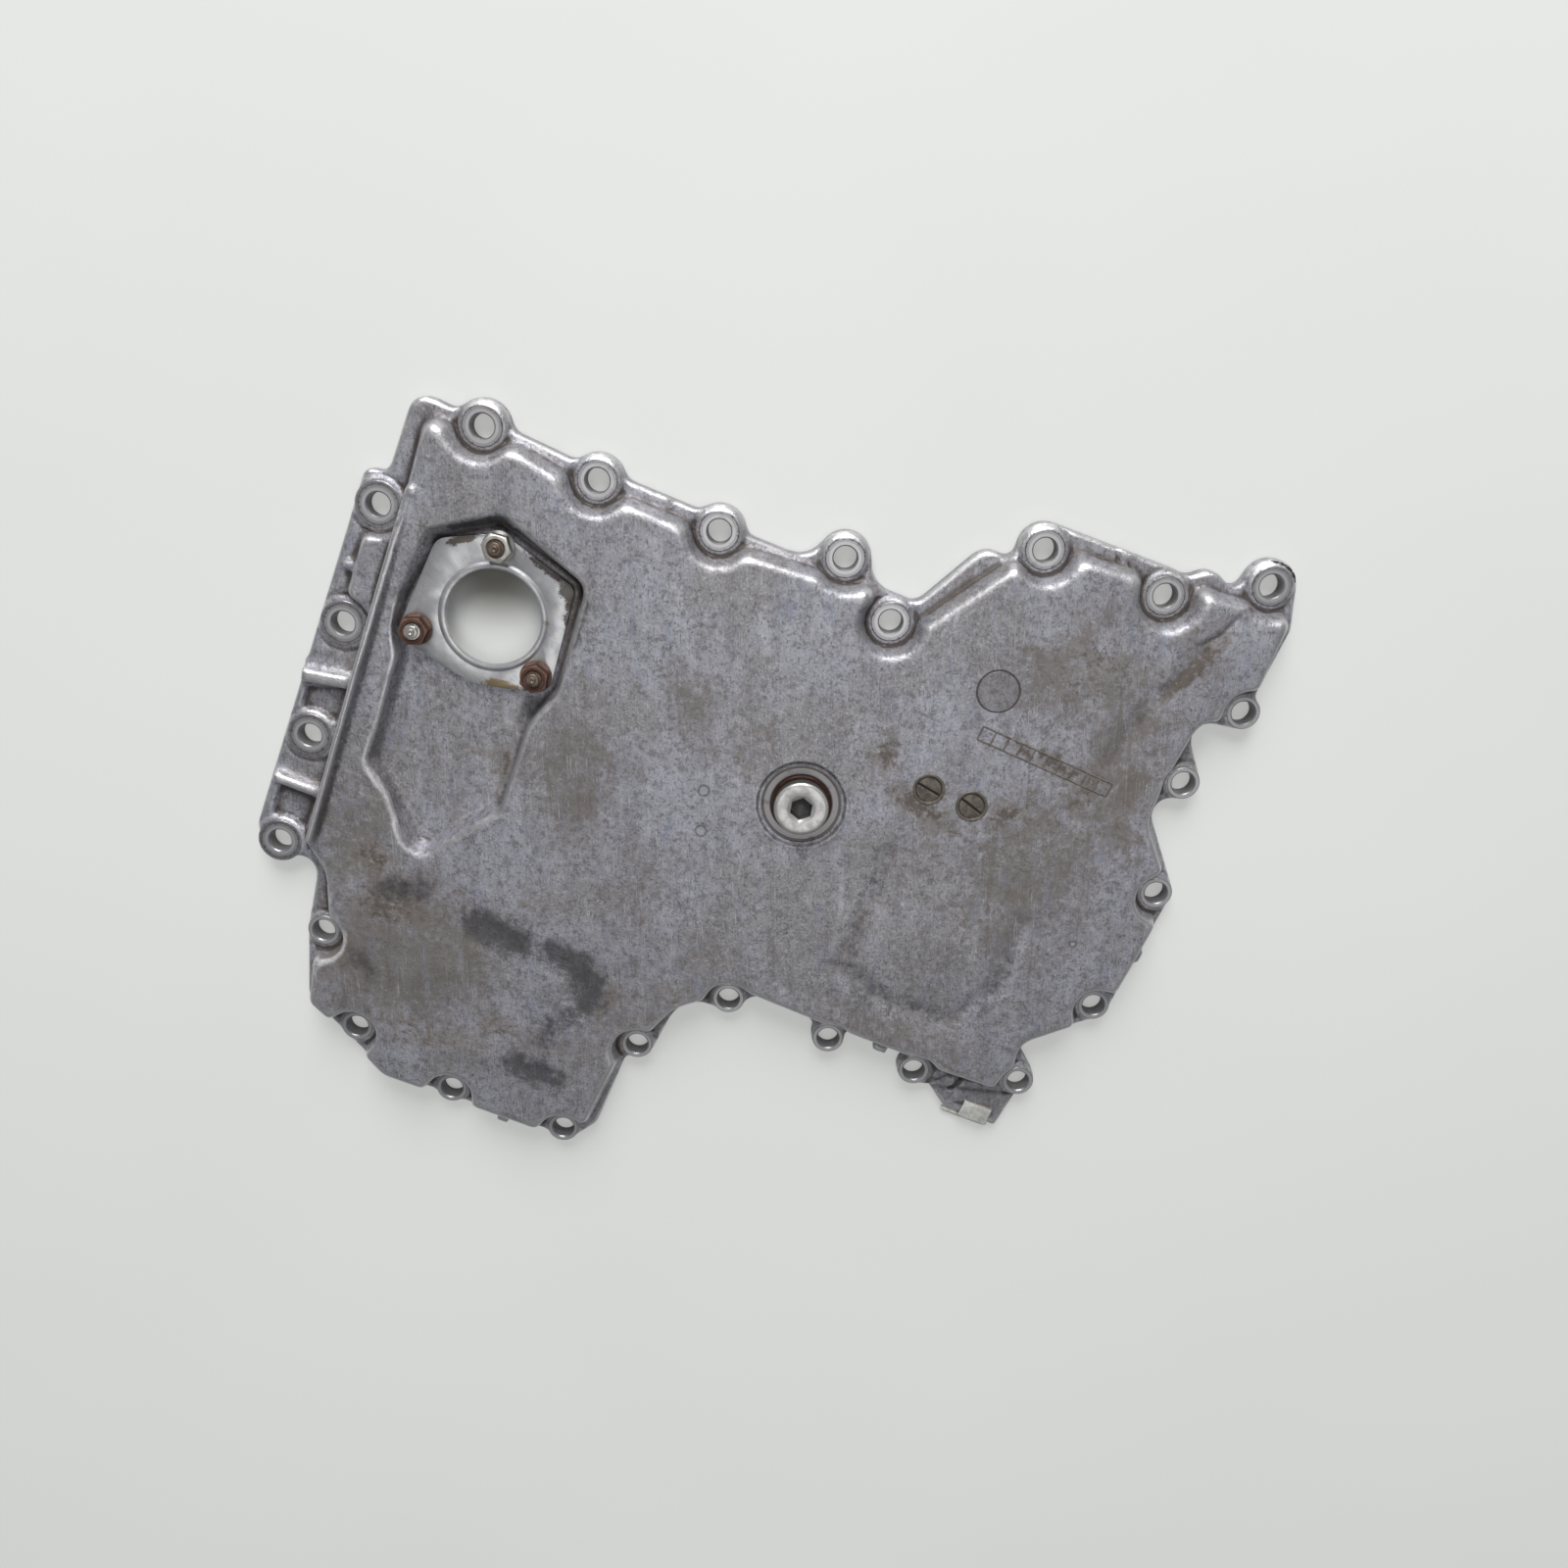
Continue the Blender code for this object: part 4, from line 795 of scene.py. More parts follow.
def distance_to_path(x, y, points):
    nearest = np.full(x.shape, 1e9)
    for (ax, ay), (bx, by) in zip(points, points[1:]):
        run = (bx - ax) ** 2 + (by - ay) ** 2
        share = np.clip(((x - ax) * (bx - ax) + (y - ay) * (by - ay)) / run, 0.0, 1.0)
        nearest = np.minimum(nearest, np.hypot(x - ax - share * (bx - ax), y - ay - share * (by - ay)))
    return nearest


def waves(x, y):
    """Uneven low waves of a casting's face, between about -1 and 1."""
    source = np.random.default_rng(11)
    total = np.zeros_like(x)
    for length in (70.0, 52.0, 38.0, 27.0, 19.0, 14.0, 10.0):
        for _ in range(3):
            angle = source.uniform(0.0, math.tau)
            phase = source.uniform(0.0, math.tau)
            along = x * math.cos(angle) + y * math.sin(angle)
            total += (length / 70.0) ** 0.8 * np.sin(math.tau * along / length + phase)
    return total / 4.0


def face_relief(x, y, ripple):
    """Heights in millimetres that are added to what faces up on the casting."""
    height = waves(x, y) * ripple
    for *ellipse, rise in SWELLS:
        height += rise * soft_ellipse(x, y, *ellipse)
    for width, depth, points in CREASES:
        height -= depth * np.exp(-((distance_to_path(x, y, points) / width) ** 2))
    for centre_x, centre_y, radius, depth in EJECTORS:
        inside = 1.0 / (1.0 + np.exp((np.hypot(x - centre_x, y - centre_y) - radius) / 0.15))
        height -= depth * inside
    return height


def sharp_relief(x, y):
    """Heights added after the rounding: a shoulder and a groove round each seat, and the sharp lines."""
    height = np.zeros_like(x)
    for centre_x, centre_y, radius in BOLTS:
        away = np.hypot(x - centre_x, y - centre_y) - radius
        height += 0.3 * np.exp(-(((away - 0.9) / 0.7) ** 2)) - 0.45 * np.exp(-(((away - 2.2) / 0.7) ** 2))
    for width, depth, points in GROOVES:
        height -= depth * np.exp(-((distance_to_path(x, y, points) / width) ** 2))
    from_drain = np.hypot(x - DRAIN[0], y - DRAIN[1])
    height += 0.3 * np.exp(-(((from_drain - 18.0) / 0.7) ** 2))
    height -= 0.25 * np.exp(-(((from_drain - 16.9) / 0.6) ** 2))
    return height


def spread_over(values, edges, passes):
    """Averages values over each point's neighbours, several times."""
    count = len(values)
    first, second = edges.T
    degree = np.maximum(np.bincount(edges.ravel(), minlength=count), 1)[:, None]
    for _ in range(passes):
        total = np.stack([np.bincount(first, column[second], count) + np.bincount(second, column[first],
                                                                                  count)
                          for column in values.T], 1)
        values = 0.4 * values + 0.6 * total / degree
    return values


def rounded_casting(settings):
    """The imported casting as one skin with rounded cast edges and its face's relief, not yet machined."""
    mesh = NODES["pan_casting"].data.copy()
    obj = link(bpy.data.objects.new("casting_skin", mesh))
    tidy_normals(obj)
    points = coords(obj.data)
    points[points[:, 2] < 0.00001, 2] -= BELOW * MM
    set_coords(obj.data, points)
    remesh = obj.modifiers.new("skin", "REMESH")
    remesh.mode = "VOXEL"
    remesh.voxel_size = settings.voxel * 1.0
    flatten_modifiers(obj)
    points = coords(obj.data)
    facing = normals(obj.data)[:, 2]
    x, y, z = points.T / MM
    lifted = (facing > 0.2) & (z > LAND - 1.0)
    on_pan = np.clip((z - 9.0) / 4.0, 0.25, 1.0)
    relief = face_relief(x, y, settings.ripple / MM) * on_pan
    points[:, 2] += np.where(lifted, relief * MM * np.clip(facing, 0.0, 1.0), 0.0)
    set_coords(obj.data, points)
    smooth = obj.modifiers.new("round", "SMOOTH")
    smooth.factor = 0.5
    smooth.iterations = settings.rounding
    flatten_modifiers(obj)
    points = coords(obj.data)
    facing = normals(obj.data)[:, 2]
    x, y, z = points.T / MM
    points[:, 2] += np.where((facing > 0.5) & (z > 3.0), sharp_relief(x, y), 0.0) * MM * facing
    set_coords(obj.data, points)
    return obj


def strongest(level, x, y, patches):
    """The level raised to soft ellipses: (x, y, half length, half width, turn in degrees, strength)."""
    for *ellipse, strength in patches:
        level = np.maximum(level, strength * soft_ellipse(x, y, *ellipse))
    return level


def skin_marks(mesh):
    """Per point: the convex edges, worn and painted with a highlight; the hollows, where dirt and painted
    shade gather; the smears with their painted shade; and the dirt patches.
    """
    points = coords(mesh)
    edges = np.empty(len(mesh.edges) * 2, np.int32)
    mesh.edges.foreach_get("vertices", edges)
    edges = edges.reshape(-1, 2)
    facing = normals(mesh)
    near = spread_over(points, edges, 8)
    far = spread_over(near, edges, 30)
    bulge = np.einsum("ij,ij->i", points - near, facing) / MM
    form = np.einsum("ij,ij->i", points - far, facing) / MM
    bulge, form = spread_over(np.stack([bulge, form], 1), edges, 2).T
    x, y = points[:, 0] / MM, points[:, 1] / MM
    # Convex edges: partly worn metal, partly a painted highlight
    edge = np.clip(bulge * 3.2, 0.0, 1.0) * 0.7 + np.clip(form * 0.9, 0.0, 1.0) * 0.5
    # Hollows and creases: partly dirt, partly painted shade
    crevice = np.clip(-bulge * 3.0, 0.0, 1.0) * 0.6 + np.clip(-form * 0.9, 0.0, 1.0) * 0.6
    crevice *= 1.0 - 0.75 * soft_ellipse(x, y, -118.0, -14.0, 52.0, 66.0, 0.0)
    smear_and_shade = np.zeros_like(x)
    dirt = np.where(points[:, 2] < 0.012, 0.3, 0.0)
    # The table holds both smears of oil and lines of painted shade
    for half, strength, path in SMEARS_AND_SHADE:
        smear_and_shade = np.maximum(smear_and_shade, strength * np.exp(-0.8 * (distance_to_path(x, y, path) / half) ** 2))
    # Rings round the drain boss: painted shade in the groove and at the step, and a painted shadow under the
    # plug head's edge
    from_drain = np.hypot(x - DRAIN[0], y - DRAIN[1])
    for ring, half, strength in ((17.3, 0.8, 0.75), (15.2, 0.5, 1.0), (11.0, 1.2, 1.4)):
        smear_and_shade = np.maximum(smear_and_shade, strength * np.exp(-(((from_drain - ring) / half) ** 2)))
    dirt = strongest(dirt, x, y, DIRT)
    for width, _, path in CREASES:
        dirt = np.maximum(dirt, 0.5 * np.exp(-((distance_to_path(x, y, path) / (width * 1.3)) ** 2)))
    dull = strongest(np.zeros_like(x), x, y, DULL)
    return points, np.stack([edge, crevice, smear_and_shade, dirt, dull], 1)


def carry_marks(mesh, source_points, marks):
    """Copies the marks from the nearest point of the skin as it was before it was thinned and cut."""
    tree = kdtree.KDTree(len(source_points))
    for index, point in enumerate(source_points):
        tree.insert(point, index)
    tree.balance()
    nearest = [tree.find(vertex.co)[1] for vertex in mesh.vertices]
    found = marks[np.array(nearest)]
    for column, name in enumerate(MARKS):
        layer = mesh.attributes.new(name, "FLOAT", "POINT")
        layer.data.foreach_set("value", found[:, column].astype(np.float32))


def machining(settings, plate):
    """The helpers that machine the casting: seats to add, then what is milled and drilled off."""
    hole = settings.hole / MM / 2
    seats = []
    drills = []
    for number, (x, y, radius) in enumerate(BOLTS):
        seats.append(turned(f"seat{number}", (x, y),
                            [(-1.0, radius - 0.5), (3.0, radius - 0.2), (SEAT - 0.3, radius),
                                                      (SEAT, radius - 0.35)], 64))
        drills.append(turned(f"drill{number}", (x, y), [(-3.0, hole + 0.6), (0.0, hole + 0.3), (0.4, hole),
                                                        (SEAT - 0.5, hole), (SEAT + 0.3, hole + 0.7),
                                                        (PAN + 3.0, hole + 0.7)], 48))
    casting_hole = plate.hole / MM / 2 + 1.5
    drills.append(turned("sensor_drill", SENSOR, [(-3.0, casting_hole), (PAN, casting_hole)], 96))
    drills.append(turned("plug_drill", DRAIN,
                         [(-3.0, 6.3), (PAN - 1.05, 6.3), (PAN - 1.04, 15.7), (PAN - 0.4, 15.9),
                                               (PAN + 3.0, 16.6)], 128))
    for number, place in enumerate(STUDS):
        drills.append(turned(f"stud_drill{number}", place, [(POCKET - 2.5, 3.3), (PAN, 3.3)], 32))
    for number, (x, y, _) in enumerate(DIALS):
        drills.append(turned(f"dial_drill{number}", (x, y), [(PAN - 0.8, 5.7), (PAN + 3.0, 5.7)], 72))
    return merge("seats", seats), merge("drills", drills)


def machined_faces(mesh):
    """Marks the milled faces with the second material and gives them a map round their own centre."""
    middle = read_rows(mesh.polygons, "center") / MM
    facing = read_rows(mesh.polygons, "normal")
    index = np.zeros(len(mesh.polygons), np.int32)
    index[(middle[:, 2] < 0.02) & (facing[:, 2] < -0.9)] = 1
    centres = [(x, y, radius, SEAT) for x, y, radius in BOLTS] + [(*DRAIN, 16.5, PAN - 1.0)]
    chamfer, bore = 0.36, 5.3
    for x, y, radius, level in centres:
        away = np.hypot(middle[:, 0] - x, middle[:, 1] - y)
        index[(away < radius) & (np.abs(middle[:, 2] - level) < chamfer) & (facing[:, 2] > 0.3)] = 1
        index[(away < bore) & (middle[:, 2] < level + 0.1)] = 1
    mesh.polygons.foreach_set("material_index", index)
    corners = np.empty(len(mesh.loops), np.int32)
    mesh.loops.foreach_get("vertex_index", corners)
    flat = coords(mesh)[corners][:, :2] / MM
    spots = np.array([centre[:2] for centre in centres])
    nearest = np.argmin(((flat[:, None, :] - spots[None]) ** 2).sum(2), 1)
    chart = mesh.uv_layers.new(name="machining")
    chart.data.foreach_set("uv", (flat - spots[nearest]).astype(np.float32).ravel())


class OILPAN_OT_casting(bpy.types.Operator):
    """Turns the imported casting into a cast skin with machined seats, holes and gasket face"""

    bl_idname = "oilpan.casting"
    bl_label = "Casting"

    def execute(self, context):
        settings = context.scene.oilpan_casting
        obj = rounded_casting(settings)
        points, marks = skin_marks(obj.data)
        thin = obj.modifiers.new("thin", "DECIMATE")
        thin.ratio = min(1.0, settings.faces / (2.0 * len(obj.data.polygons)))
        flatten_modifiers(obj)
        seats, drills = machining(settings, context.scene.oilpan_plate)
        boolean(obj, seats, "UNION")
        margin = 9.0
        (left, front), (right, back) = [(corner.x / MM, corner.y / MM) for corner in CAD_BOX]
        corners = [(left - margin, front - margin), (right + margin, front - margin),
                   (right + margin, back + margin), (left - margin, back + margin)]
        slab = stacked("gasket_mill", [[(x, y, height) for x, y in corners] for height in (-margin, 0.0)])
        boolean(obj, slab, "DIFFERENCE")
        boolean(obj, drills, "DIFFERENCE")
        obj.name = "pan_casting_skin"
        obj.data.name = "pan_casting_skin"
        carry_marks(obj.data, points, marks)
        obj.data.materials.clear()
        obj.data.materials.append(cast_material(settings))
        obj.data.materials.append(machined_material())
        machined_faces(obj.data)
        shade(obj, 40.0)
        dress(obj, None, "cast_aluminium", "pan_casting")
        return {"FINISHED"}


def belt(pulleys, inset=0.0, step=math.radians(7)):
    """A closed path round circles (x, y, radius), anticlockwise, moved inwards by an inset."""
    circles = [(x, y, radius - inset) for x, y, radius in pulleys]

    def directions(rounds):
        found = []
        for index, (x, y, radius) in enumerate(rounds):
            next_x, next_y, next_radius = rounds[(index + 1) % len(rounds)]
            distance = math.hypot(next_x - x, next_y - y)
            found.append(math.atan2(next_y - y, next_x - x) - math.asin((next_radius - radius) / distance))
        return found

    angles = directions(circles)
    plain = directions(pulleys)
    points = []
    for index, (x, y, radius) in enumerate(circles):
        turn = (plain[index] - plain[index - 1] + 1.0) % math.tau - 1.0
        steps = max(1, math.ceil(abs(turn) / step))
        turn = (angles[index] - angles[index - 1] + 1.0) % math.tau - 1.0
        for place in range(steps + 1):
            angle = angles[index - 1] + turn * place / steps
            points.append((x + radius * math.sin(angle), y - radius * math.cos(angle)))
    return points


def sheet_with_holes(name, outer, holes, levels):
    """A flat sheet: outer and holes are functions of an inset that give loops, levels are (height, inset)."""
    tools = bmesh.new()
    rims = ([], [])
    for shape, sign in [(outer, 1.0), *[(hole, -1.0) for hole in holes]]:
        rings = []
        for height, inset in levels:
            rings.append([tools.verts.new((x * MM, y * MM, height * MM)) for x, y in shape(sign * inset)])
        for lower, upper in zip(rings, rings[1:]):
            for place in range(len(lower)):
                after = (place + 1) % len(lower)
                tools.faces.new((lower[place], lower[after], upper[after], upper[place]))
        for rim, ring in zip(rims, (rings[0], rings[-1])):
            rim.extend(tools.edges.get((ring[place - 1], ring[place])) for place in range(len(ring)))
    for rim in rims:
        bmesh.ops.triangle_fill(tools, edges=rim, use_beauty=True)
    bmesh.ops.recalc_face_normals(tools, faces=tools.faces)
    mesh = bpy.data.meshes.new(name)
    tools.to_mesh(mesh)
    tools.free()
    return link(bpy.data.objects.new(name, mesh))


def plate_pulleys(plate):
    (top_x, top_y), (left_x, left_y), (right_x, right_y) = STUDS
    ear = 6.4
    return [(left_x + 2.6, top_y - 10.0, 6.4), (left_x, left_y, ear), (*SENSOR, plate.hole / MM / 2 + 9.0),
            (right_x, right_y, ear), (right_x - 1.4, top_y - 7.3, 4.6), (top_x, top_y, ear - 1.4)]


class OILPAN_OT_plate(bpy.types.Operator):
    """Makes the pressed sensor plate with its turned lip, and the seal under it"""

    bl_idname = "oilpan.plate"
    bl_label = "Sensor plate"

    def execute(self, context):
        plate = context.scene.oilpan_plate
        pulleys = plate_pulleys(plate)
        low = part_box("sensor_flange_plate")[0].z / MM
        top = low + plate.thickness / MM
        hole = plate.hole / MM / 2
        stud = context.scene.oilpan_fasteners.stud / MM / 2 + 0.4

        def outer(inset):
            return belt(pulleys, inset)

        def bore(inset):
            return circle(SENSOR, hole + 0.9 - inset, 128)

        def stud_bore(place):
            return lambda inset: circle(place, stud - inset, 32)

        levels = [(low, 0.3), (low + 0.1, 0.08), (low + 0.35, 0.0), (top - 0.4, 0.0), (top - 0.12, 0.1),
                  (top, 0.35)]
        holes = [bore, *[stud_bore(place) for place in STUDS]]
        sheet = sheet_with_holes("plate_sheet", outer, holes, levels)
        lip = plate.lip / MM
        section = [(low + 0.3, hole), (low, hole + 0.35), (low, hole + lip), (top - 0.1, hole + lip + 1.2),
                   (top + 0.12, hole + lip + 0.45), (top + 0.5, hole + lip), (top + 0.68, hole + lip - 0.5),
                   (top + 0.68, hole + 0.7), (top + 0.5, hole + 0.2), (top + 0.1, hole)]
        ring = turned_ring("plate_lip", SENSOR, section, 144)
        made = merge("sensor_plate", [sheet, ring])
        dress(shade(made), plate_material(plate), "plate_steel", "sensor_flange_plate")
        seal_low, seal_high = (corner.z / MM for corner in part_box("flange_seal"))

        def seal_outer(inset):
            return belt(pulleys, inset + 0.6)

        def seal_bore(inset):
            return circle(SENSOR, hole + 0.6 - inset, 96)

        seal = sheet_with_holes("plate_seal", seal_outer,
                                [seal_bore, *[stud_bore(place) for place in STUDS]],
                                [(seal_low, 0.15), (seal_low + 0.2, 0.0), (seal_high - 0.2, 0.0),
                                 (seal_high, 0.15)])
        rubber = metal_material("seal_rubber", (0.02, 0.02, 0.02), (0.05, 0.045, 0.04), 0.3, 0.0, 0.6)
        dress(shade(seal), rubber, "seal_rubber", "flange_seal")
        return {"FINISHED"}


def hex_radius(angle, flats):
    """How far a hexagon's side is from its centre at an angle."""
    return flats / 2 / math.cos((angle + math.pi / 6) % (math.pi / 3) - math.pi / 6)


def shaped_loops(centre, count, turn, profile):
    """Loops round a centre from (height, radius) steps, each a number or a function of the angle."""
    loops = []
    for height, radius in profile:
        loop = []
        for angle in [math.tau * index / count for index in range(count)]:
            reach = radius(angle) if callable(radius) else radius
            level = height(angle) if callable(height) else height
            around = angle + turn
            loop.append((centre[0] + reach * math.cos(around), centre[1] + reach * math.sin(around), level))
        loops.append(loop)
    return loops


def flange_nut(name, place, low, flats, stud, turn):
    """A flange nut with a chamfered hexagon and a countersunk bore, one closed ring."""
    top = low + 6.0
    flange = 6.2
    crown = flats / 2 * 0.94
    bore = stud / 2 + 0.15

    def side(angle):
        return hex_radius(angle, flats)

    def chamfer(angle):
        return top - max(0.0, side(angle) - crown) * 0.62

    def near_side(angle):
        return side(angle) + 0.25

    def bevel(angle):
        return (chamfer(angle) + top) / 2

    def bevel_side(angle):
        return (side(angle) + crown) / 2 - 0.05

    profile = [(low, bore + 0.5), (low, flange - 0.2), (low + 0.2, flange), (low + 0.75, flange),
               (low + 0.95, flange - 0.2), (low + 1.5, near_side), (low + 1.8, side), (chamfer, side),
               (bevel, bevel_side), (top, crown - 0.15), (top, bore + 0.55), (top - 0.6, bore),
               (low + 0.5, bore)]
    return tidy_normals(stacked(name, shaped_loops(place, 96, turn, [*profile, profile[0]]), False))


def geometry_tree(name, **inputs):
    """An empty Geometry Nodes tree with named inputs, each given with its kind."""
    tree = bpy.data.node_groups.new(name, "GeometryNodeTree")
    tree.is_modifier = True
    tree.interface.new_socket(name="Geometry", in_out="INPUT", socket_type="NodeSocketGeometry")
    for label, kind in inputs.items():
        tree.interface.new_socket(name=label, in_out="INPUT", socket_type=f"NodeSocket{kind}")
    tree.interface.new_socket(name="Geometry", in_out="OUTPUT", socket_type="NodeSocketGeometry")
    graph = Graph(tree)
    return graph, graph.node("NodeGroupInput").outputs, graph.node("NodeGroupOutput").inputs["Geometry"]


def grow(name, tree, values):
    """Runs a Geometry Nodes tree on an empty mesh and keeps the result as a plain mesh."""
    obj = link(bpy.data.objects.new(name, bpy.data.meshes.new(name)))
    modifier = obj.modifiers.new(name, "NODES")
    modifier.node_group = tree
    for item in tree.interface.items_tree:
        if item.in_out == "INPUT" and item.name in values:
            modifier[item.identifier] = values[item.name]
    return flatten_modifiers(obj)


def end_tree(graph, geometry, material, out):
    """Every tree ends the same way: real geometry with its material."""
    real = graph.node("GeometryNodeRealizeInstances", {"Geometry": geometry}).outputs[0]
    done = graph.node("GeometryNodeSetMaterial", {"Geometry": real, "Material": material}).outputs[0]
    graph.feed(out, done)


def thread_tree():
    """A stud: its core with a pointed end, and a helical thread round it."""
    graph, given, out = geometry_tree("stud_thread", Radius="Float", Pitch="Float", Length="Float",
                                      Foot="Vector", Material="Material")
    run = graph.less(given["Length"], given["Pitch"])
    crest = graph.less(given["Radius"], graph.times(given["Pitch"], 0.33))
    spiral = graph.node("GeometryNodeCurveSpiral", {
        "Resolution": 36, "Rotations": graph.maths("DIVIDE", run, given["Pitch"]), "Start Radius": crest,
        "End Radius": crest, "Height": run})
    profile = graph.node("GeometryNodeCurvePrimitiveCircle", {
        "Resolution": 4, "Radius": graph.times(given["Pitch"], 0.46)})
    thread = graph.node("GeometryNodeCurveToMesh", {
        "Curve": spiral.outputs[0], "Profile Curve": profile.outputs[0], "Fill Caps": True})
    core = graph.node("GeometryNodeMeshCylinder", {
        "Vertices": 48, "Side Segments": 1, "Depth": given["Length"],
        "Radius": graph.less(given["Radius"], graph.times(given["Pitch"], 0.55))})
    both = graph.node("GeometryNodeJoinGeometry")
    for part, lift in ((core, graph.maths("DIVIDE", given["Length"], 2.0)),
                       (thread, graph.times(given["Pitch"], 0.5))):
        graph.tree.links.new(graph.moved(part.outputs["Mesh"], graph.upright(Z=lift)), both.inputs[0])
    end_tree(graph, graph.moved(both.outputs[0], given["Foot"]), given["Material"], out)
    return graph.tree


class OILPAN_OT_studs(bpy.types.Operator):
    """Makes the three studs with their threads and the flange nuts, one bright and two rusty"""

    bl_idname = "oilpan.studs"
    bl_label = "Studs and nuts"

    def execute(self, context):
        fasteners = context.scene.oilpan_fasteners
        rust = tuple(fasteners.rust)
        zinc = tuple(fasteners.zinc)
        brown = metal_material("stud_brown", (0.16, 0.11, 0.08), rust, 0.6, 0.5, 0.5, 0.08, 3.0)
        silver = metal_material("stud_silver", zinc, (0.2, 0.16, 0.12), 0.25, 0.9, 0.35, 0.05, 3.0)
        # The nuts' last colours are for their worn chamfers, partly a painted highlight; their sides take
        # painted shade
        rusty = metal_material("rusty_nut", rust, (0.075, 0.036, 0.026), 0.6, 0.2, 0.7, 0.16, 3.0,
                               (0.17, 0.1, 0.075))
        bright = metal_material("zinc_nut", zinc, (0.20, 0.165, 0.125), 0.35, 0.8, 0.4, 0.05, 4.0,
                                (0.7, 0.68, 0.64))
        tree = thread_tree()
        worn = metal_material("worn_tip", (0.20, 0.155, 0.12), (0.08, 0.055, 0.04), 0.45, 0.6, 0.45, 0.05,
                              2.0)
        looks = ((brown, worn, bright, "zinc_steel"), (silver, silver, rusty, "rusty_steel"),
                 (brown, worn, rusty, "rusty_steel"))
        for number, (place, (stud_look, tip_look, nut_look, slot)) in enumerate(zip(STUDS, looks), start=1):
            low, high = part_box(f"stud_{number}")
            thread = grow("thread", tree, {
                "Radius": fasteners.stud / 2, "Pitch": fasteners.pitch, "Length": high.z - low.z - 1.0 * MM,
                "Foot": (place[0] * MM, place[1] * MM, low.z), "Material": stud_look})
            top = high.z / MM
            tip = turned("tip", place,
                         [(top - 1.8, 2.35), (top - 1.0, 2.4), (top - 0.78, 2.15), (top - 0.7, 1.35),
                                        (top - 0.1, 1.2), (top, 1.05), (top, 0.7), (top - 0.45, 0.2)], 48)
            tip.data.materials.append(tip_look)
            stud = merge(f"threaded_stud_{number}", [thread, tidy_normals(tip)])
            dress(shade(stud, 30.0), None, "stud_steel", f"stud_{number}")
            nut_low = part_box(f"flange_nut_{number}")[0].z / MM
            nut = flange_nut(f"hexagon_nut_{number}", place, nut_low, fasteners.flats / MM,
                             fasteners.stud / MM,
                             math.radians(20 + 17 * number))
            dress(shade(nut, 28.0), nut_look, slot, f"flange_nut_{number}")
        return {"FINISHED"}


class OILPAN_OT_drain_plug(bpy.types.Operator):
    """Makes the drain plug with its hexagon socket, and its copper washer"""

    bl_idname = "oilpan.drain_plug"
    bl_label = "Drain plug"

    def execute(self, context):
        fasteners = context.scene.oilpan_fasteners
        low, high = (corner.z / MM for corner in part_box("drain_plug"))
        washer_low, washer_high = (corner.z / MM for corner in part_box("drain_plug_washer"))
        flats = fasteners.socket / MM
        seat = washer_high + 0.02

        def socket(angle):
            return hex_radius(angle, flats)

        def socket_bottom(angle):
            return socket(angle) * 0.985

        profile = [(low, 4.8), (low + 1.2, 6.0), (seat, 6.0), (seat, 10.3), (seat + 0.3, 10.7),
                   (high - 1.1, 10.8),
                   (high - 0.7, 10.62), (high - 0.25, 10.1), (high - 0.05, 9.5), (high, 9.2), (high, 5.6),
                   (high - 0.1, 5.35), (high - 0.75, socket), (high - 5.0, socket_bottom),
                   (high - 5.3, 3.2),
                   (high - 6.2, 0.6)]
        plug = tidy_normals(stacked("socket_plug", shaped_loops(DRAIN, 144, math.radians(12), profile)))
        dress(shade(plug, 30.0), plug_material(high), "plug_steel", "drain_plug")
        section = [(washer_low, 6.3), (washer_low, 11.6), (washer_low + 0.2, 11.9),
                   (washer_low + 0.75, 12.0),
                   (washer_high - 0.2, 11.9), (washer_high, 11.6), (washer_high, 6.3)]
        washer = turned_ring("crush_washer", DRAIN, section, 144)
        copper = metal_material("washer_copper", tuple(fasteners.copper), (0.03, 0.022, 0.02), 0.5, 0.8,
                                0.45, 0.05, 5.0)
        dress(shade(washer, 30.0), copper, "washer_copper", "drain_plug_washer")
        return {"FINISHED"}


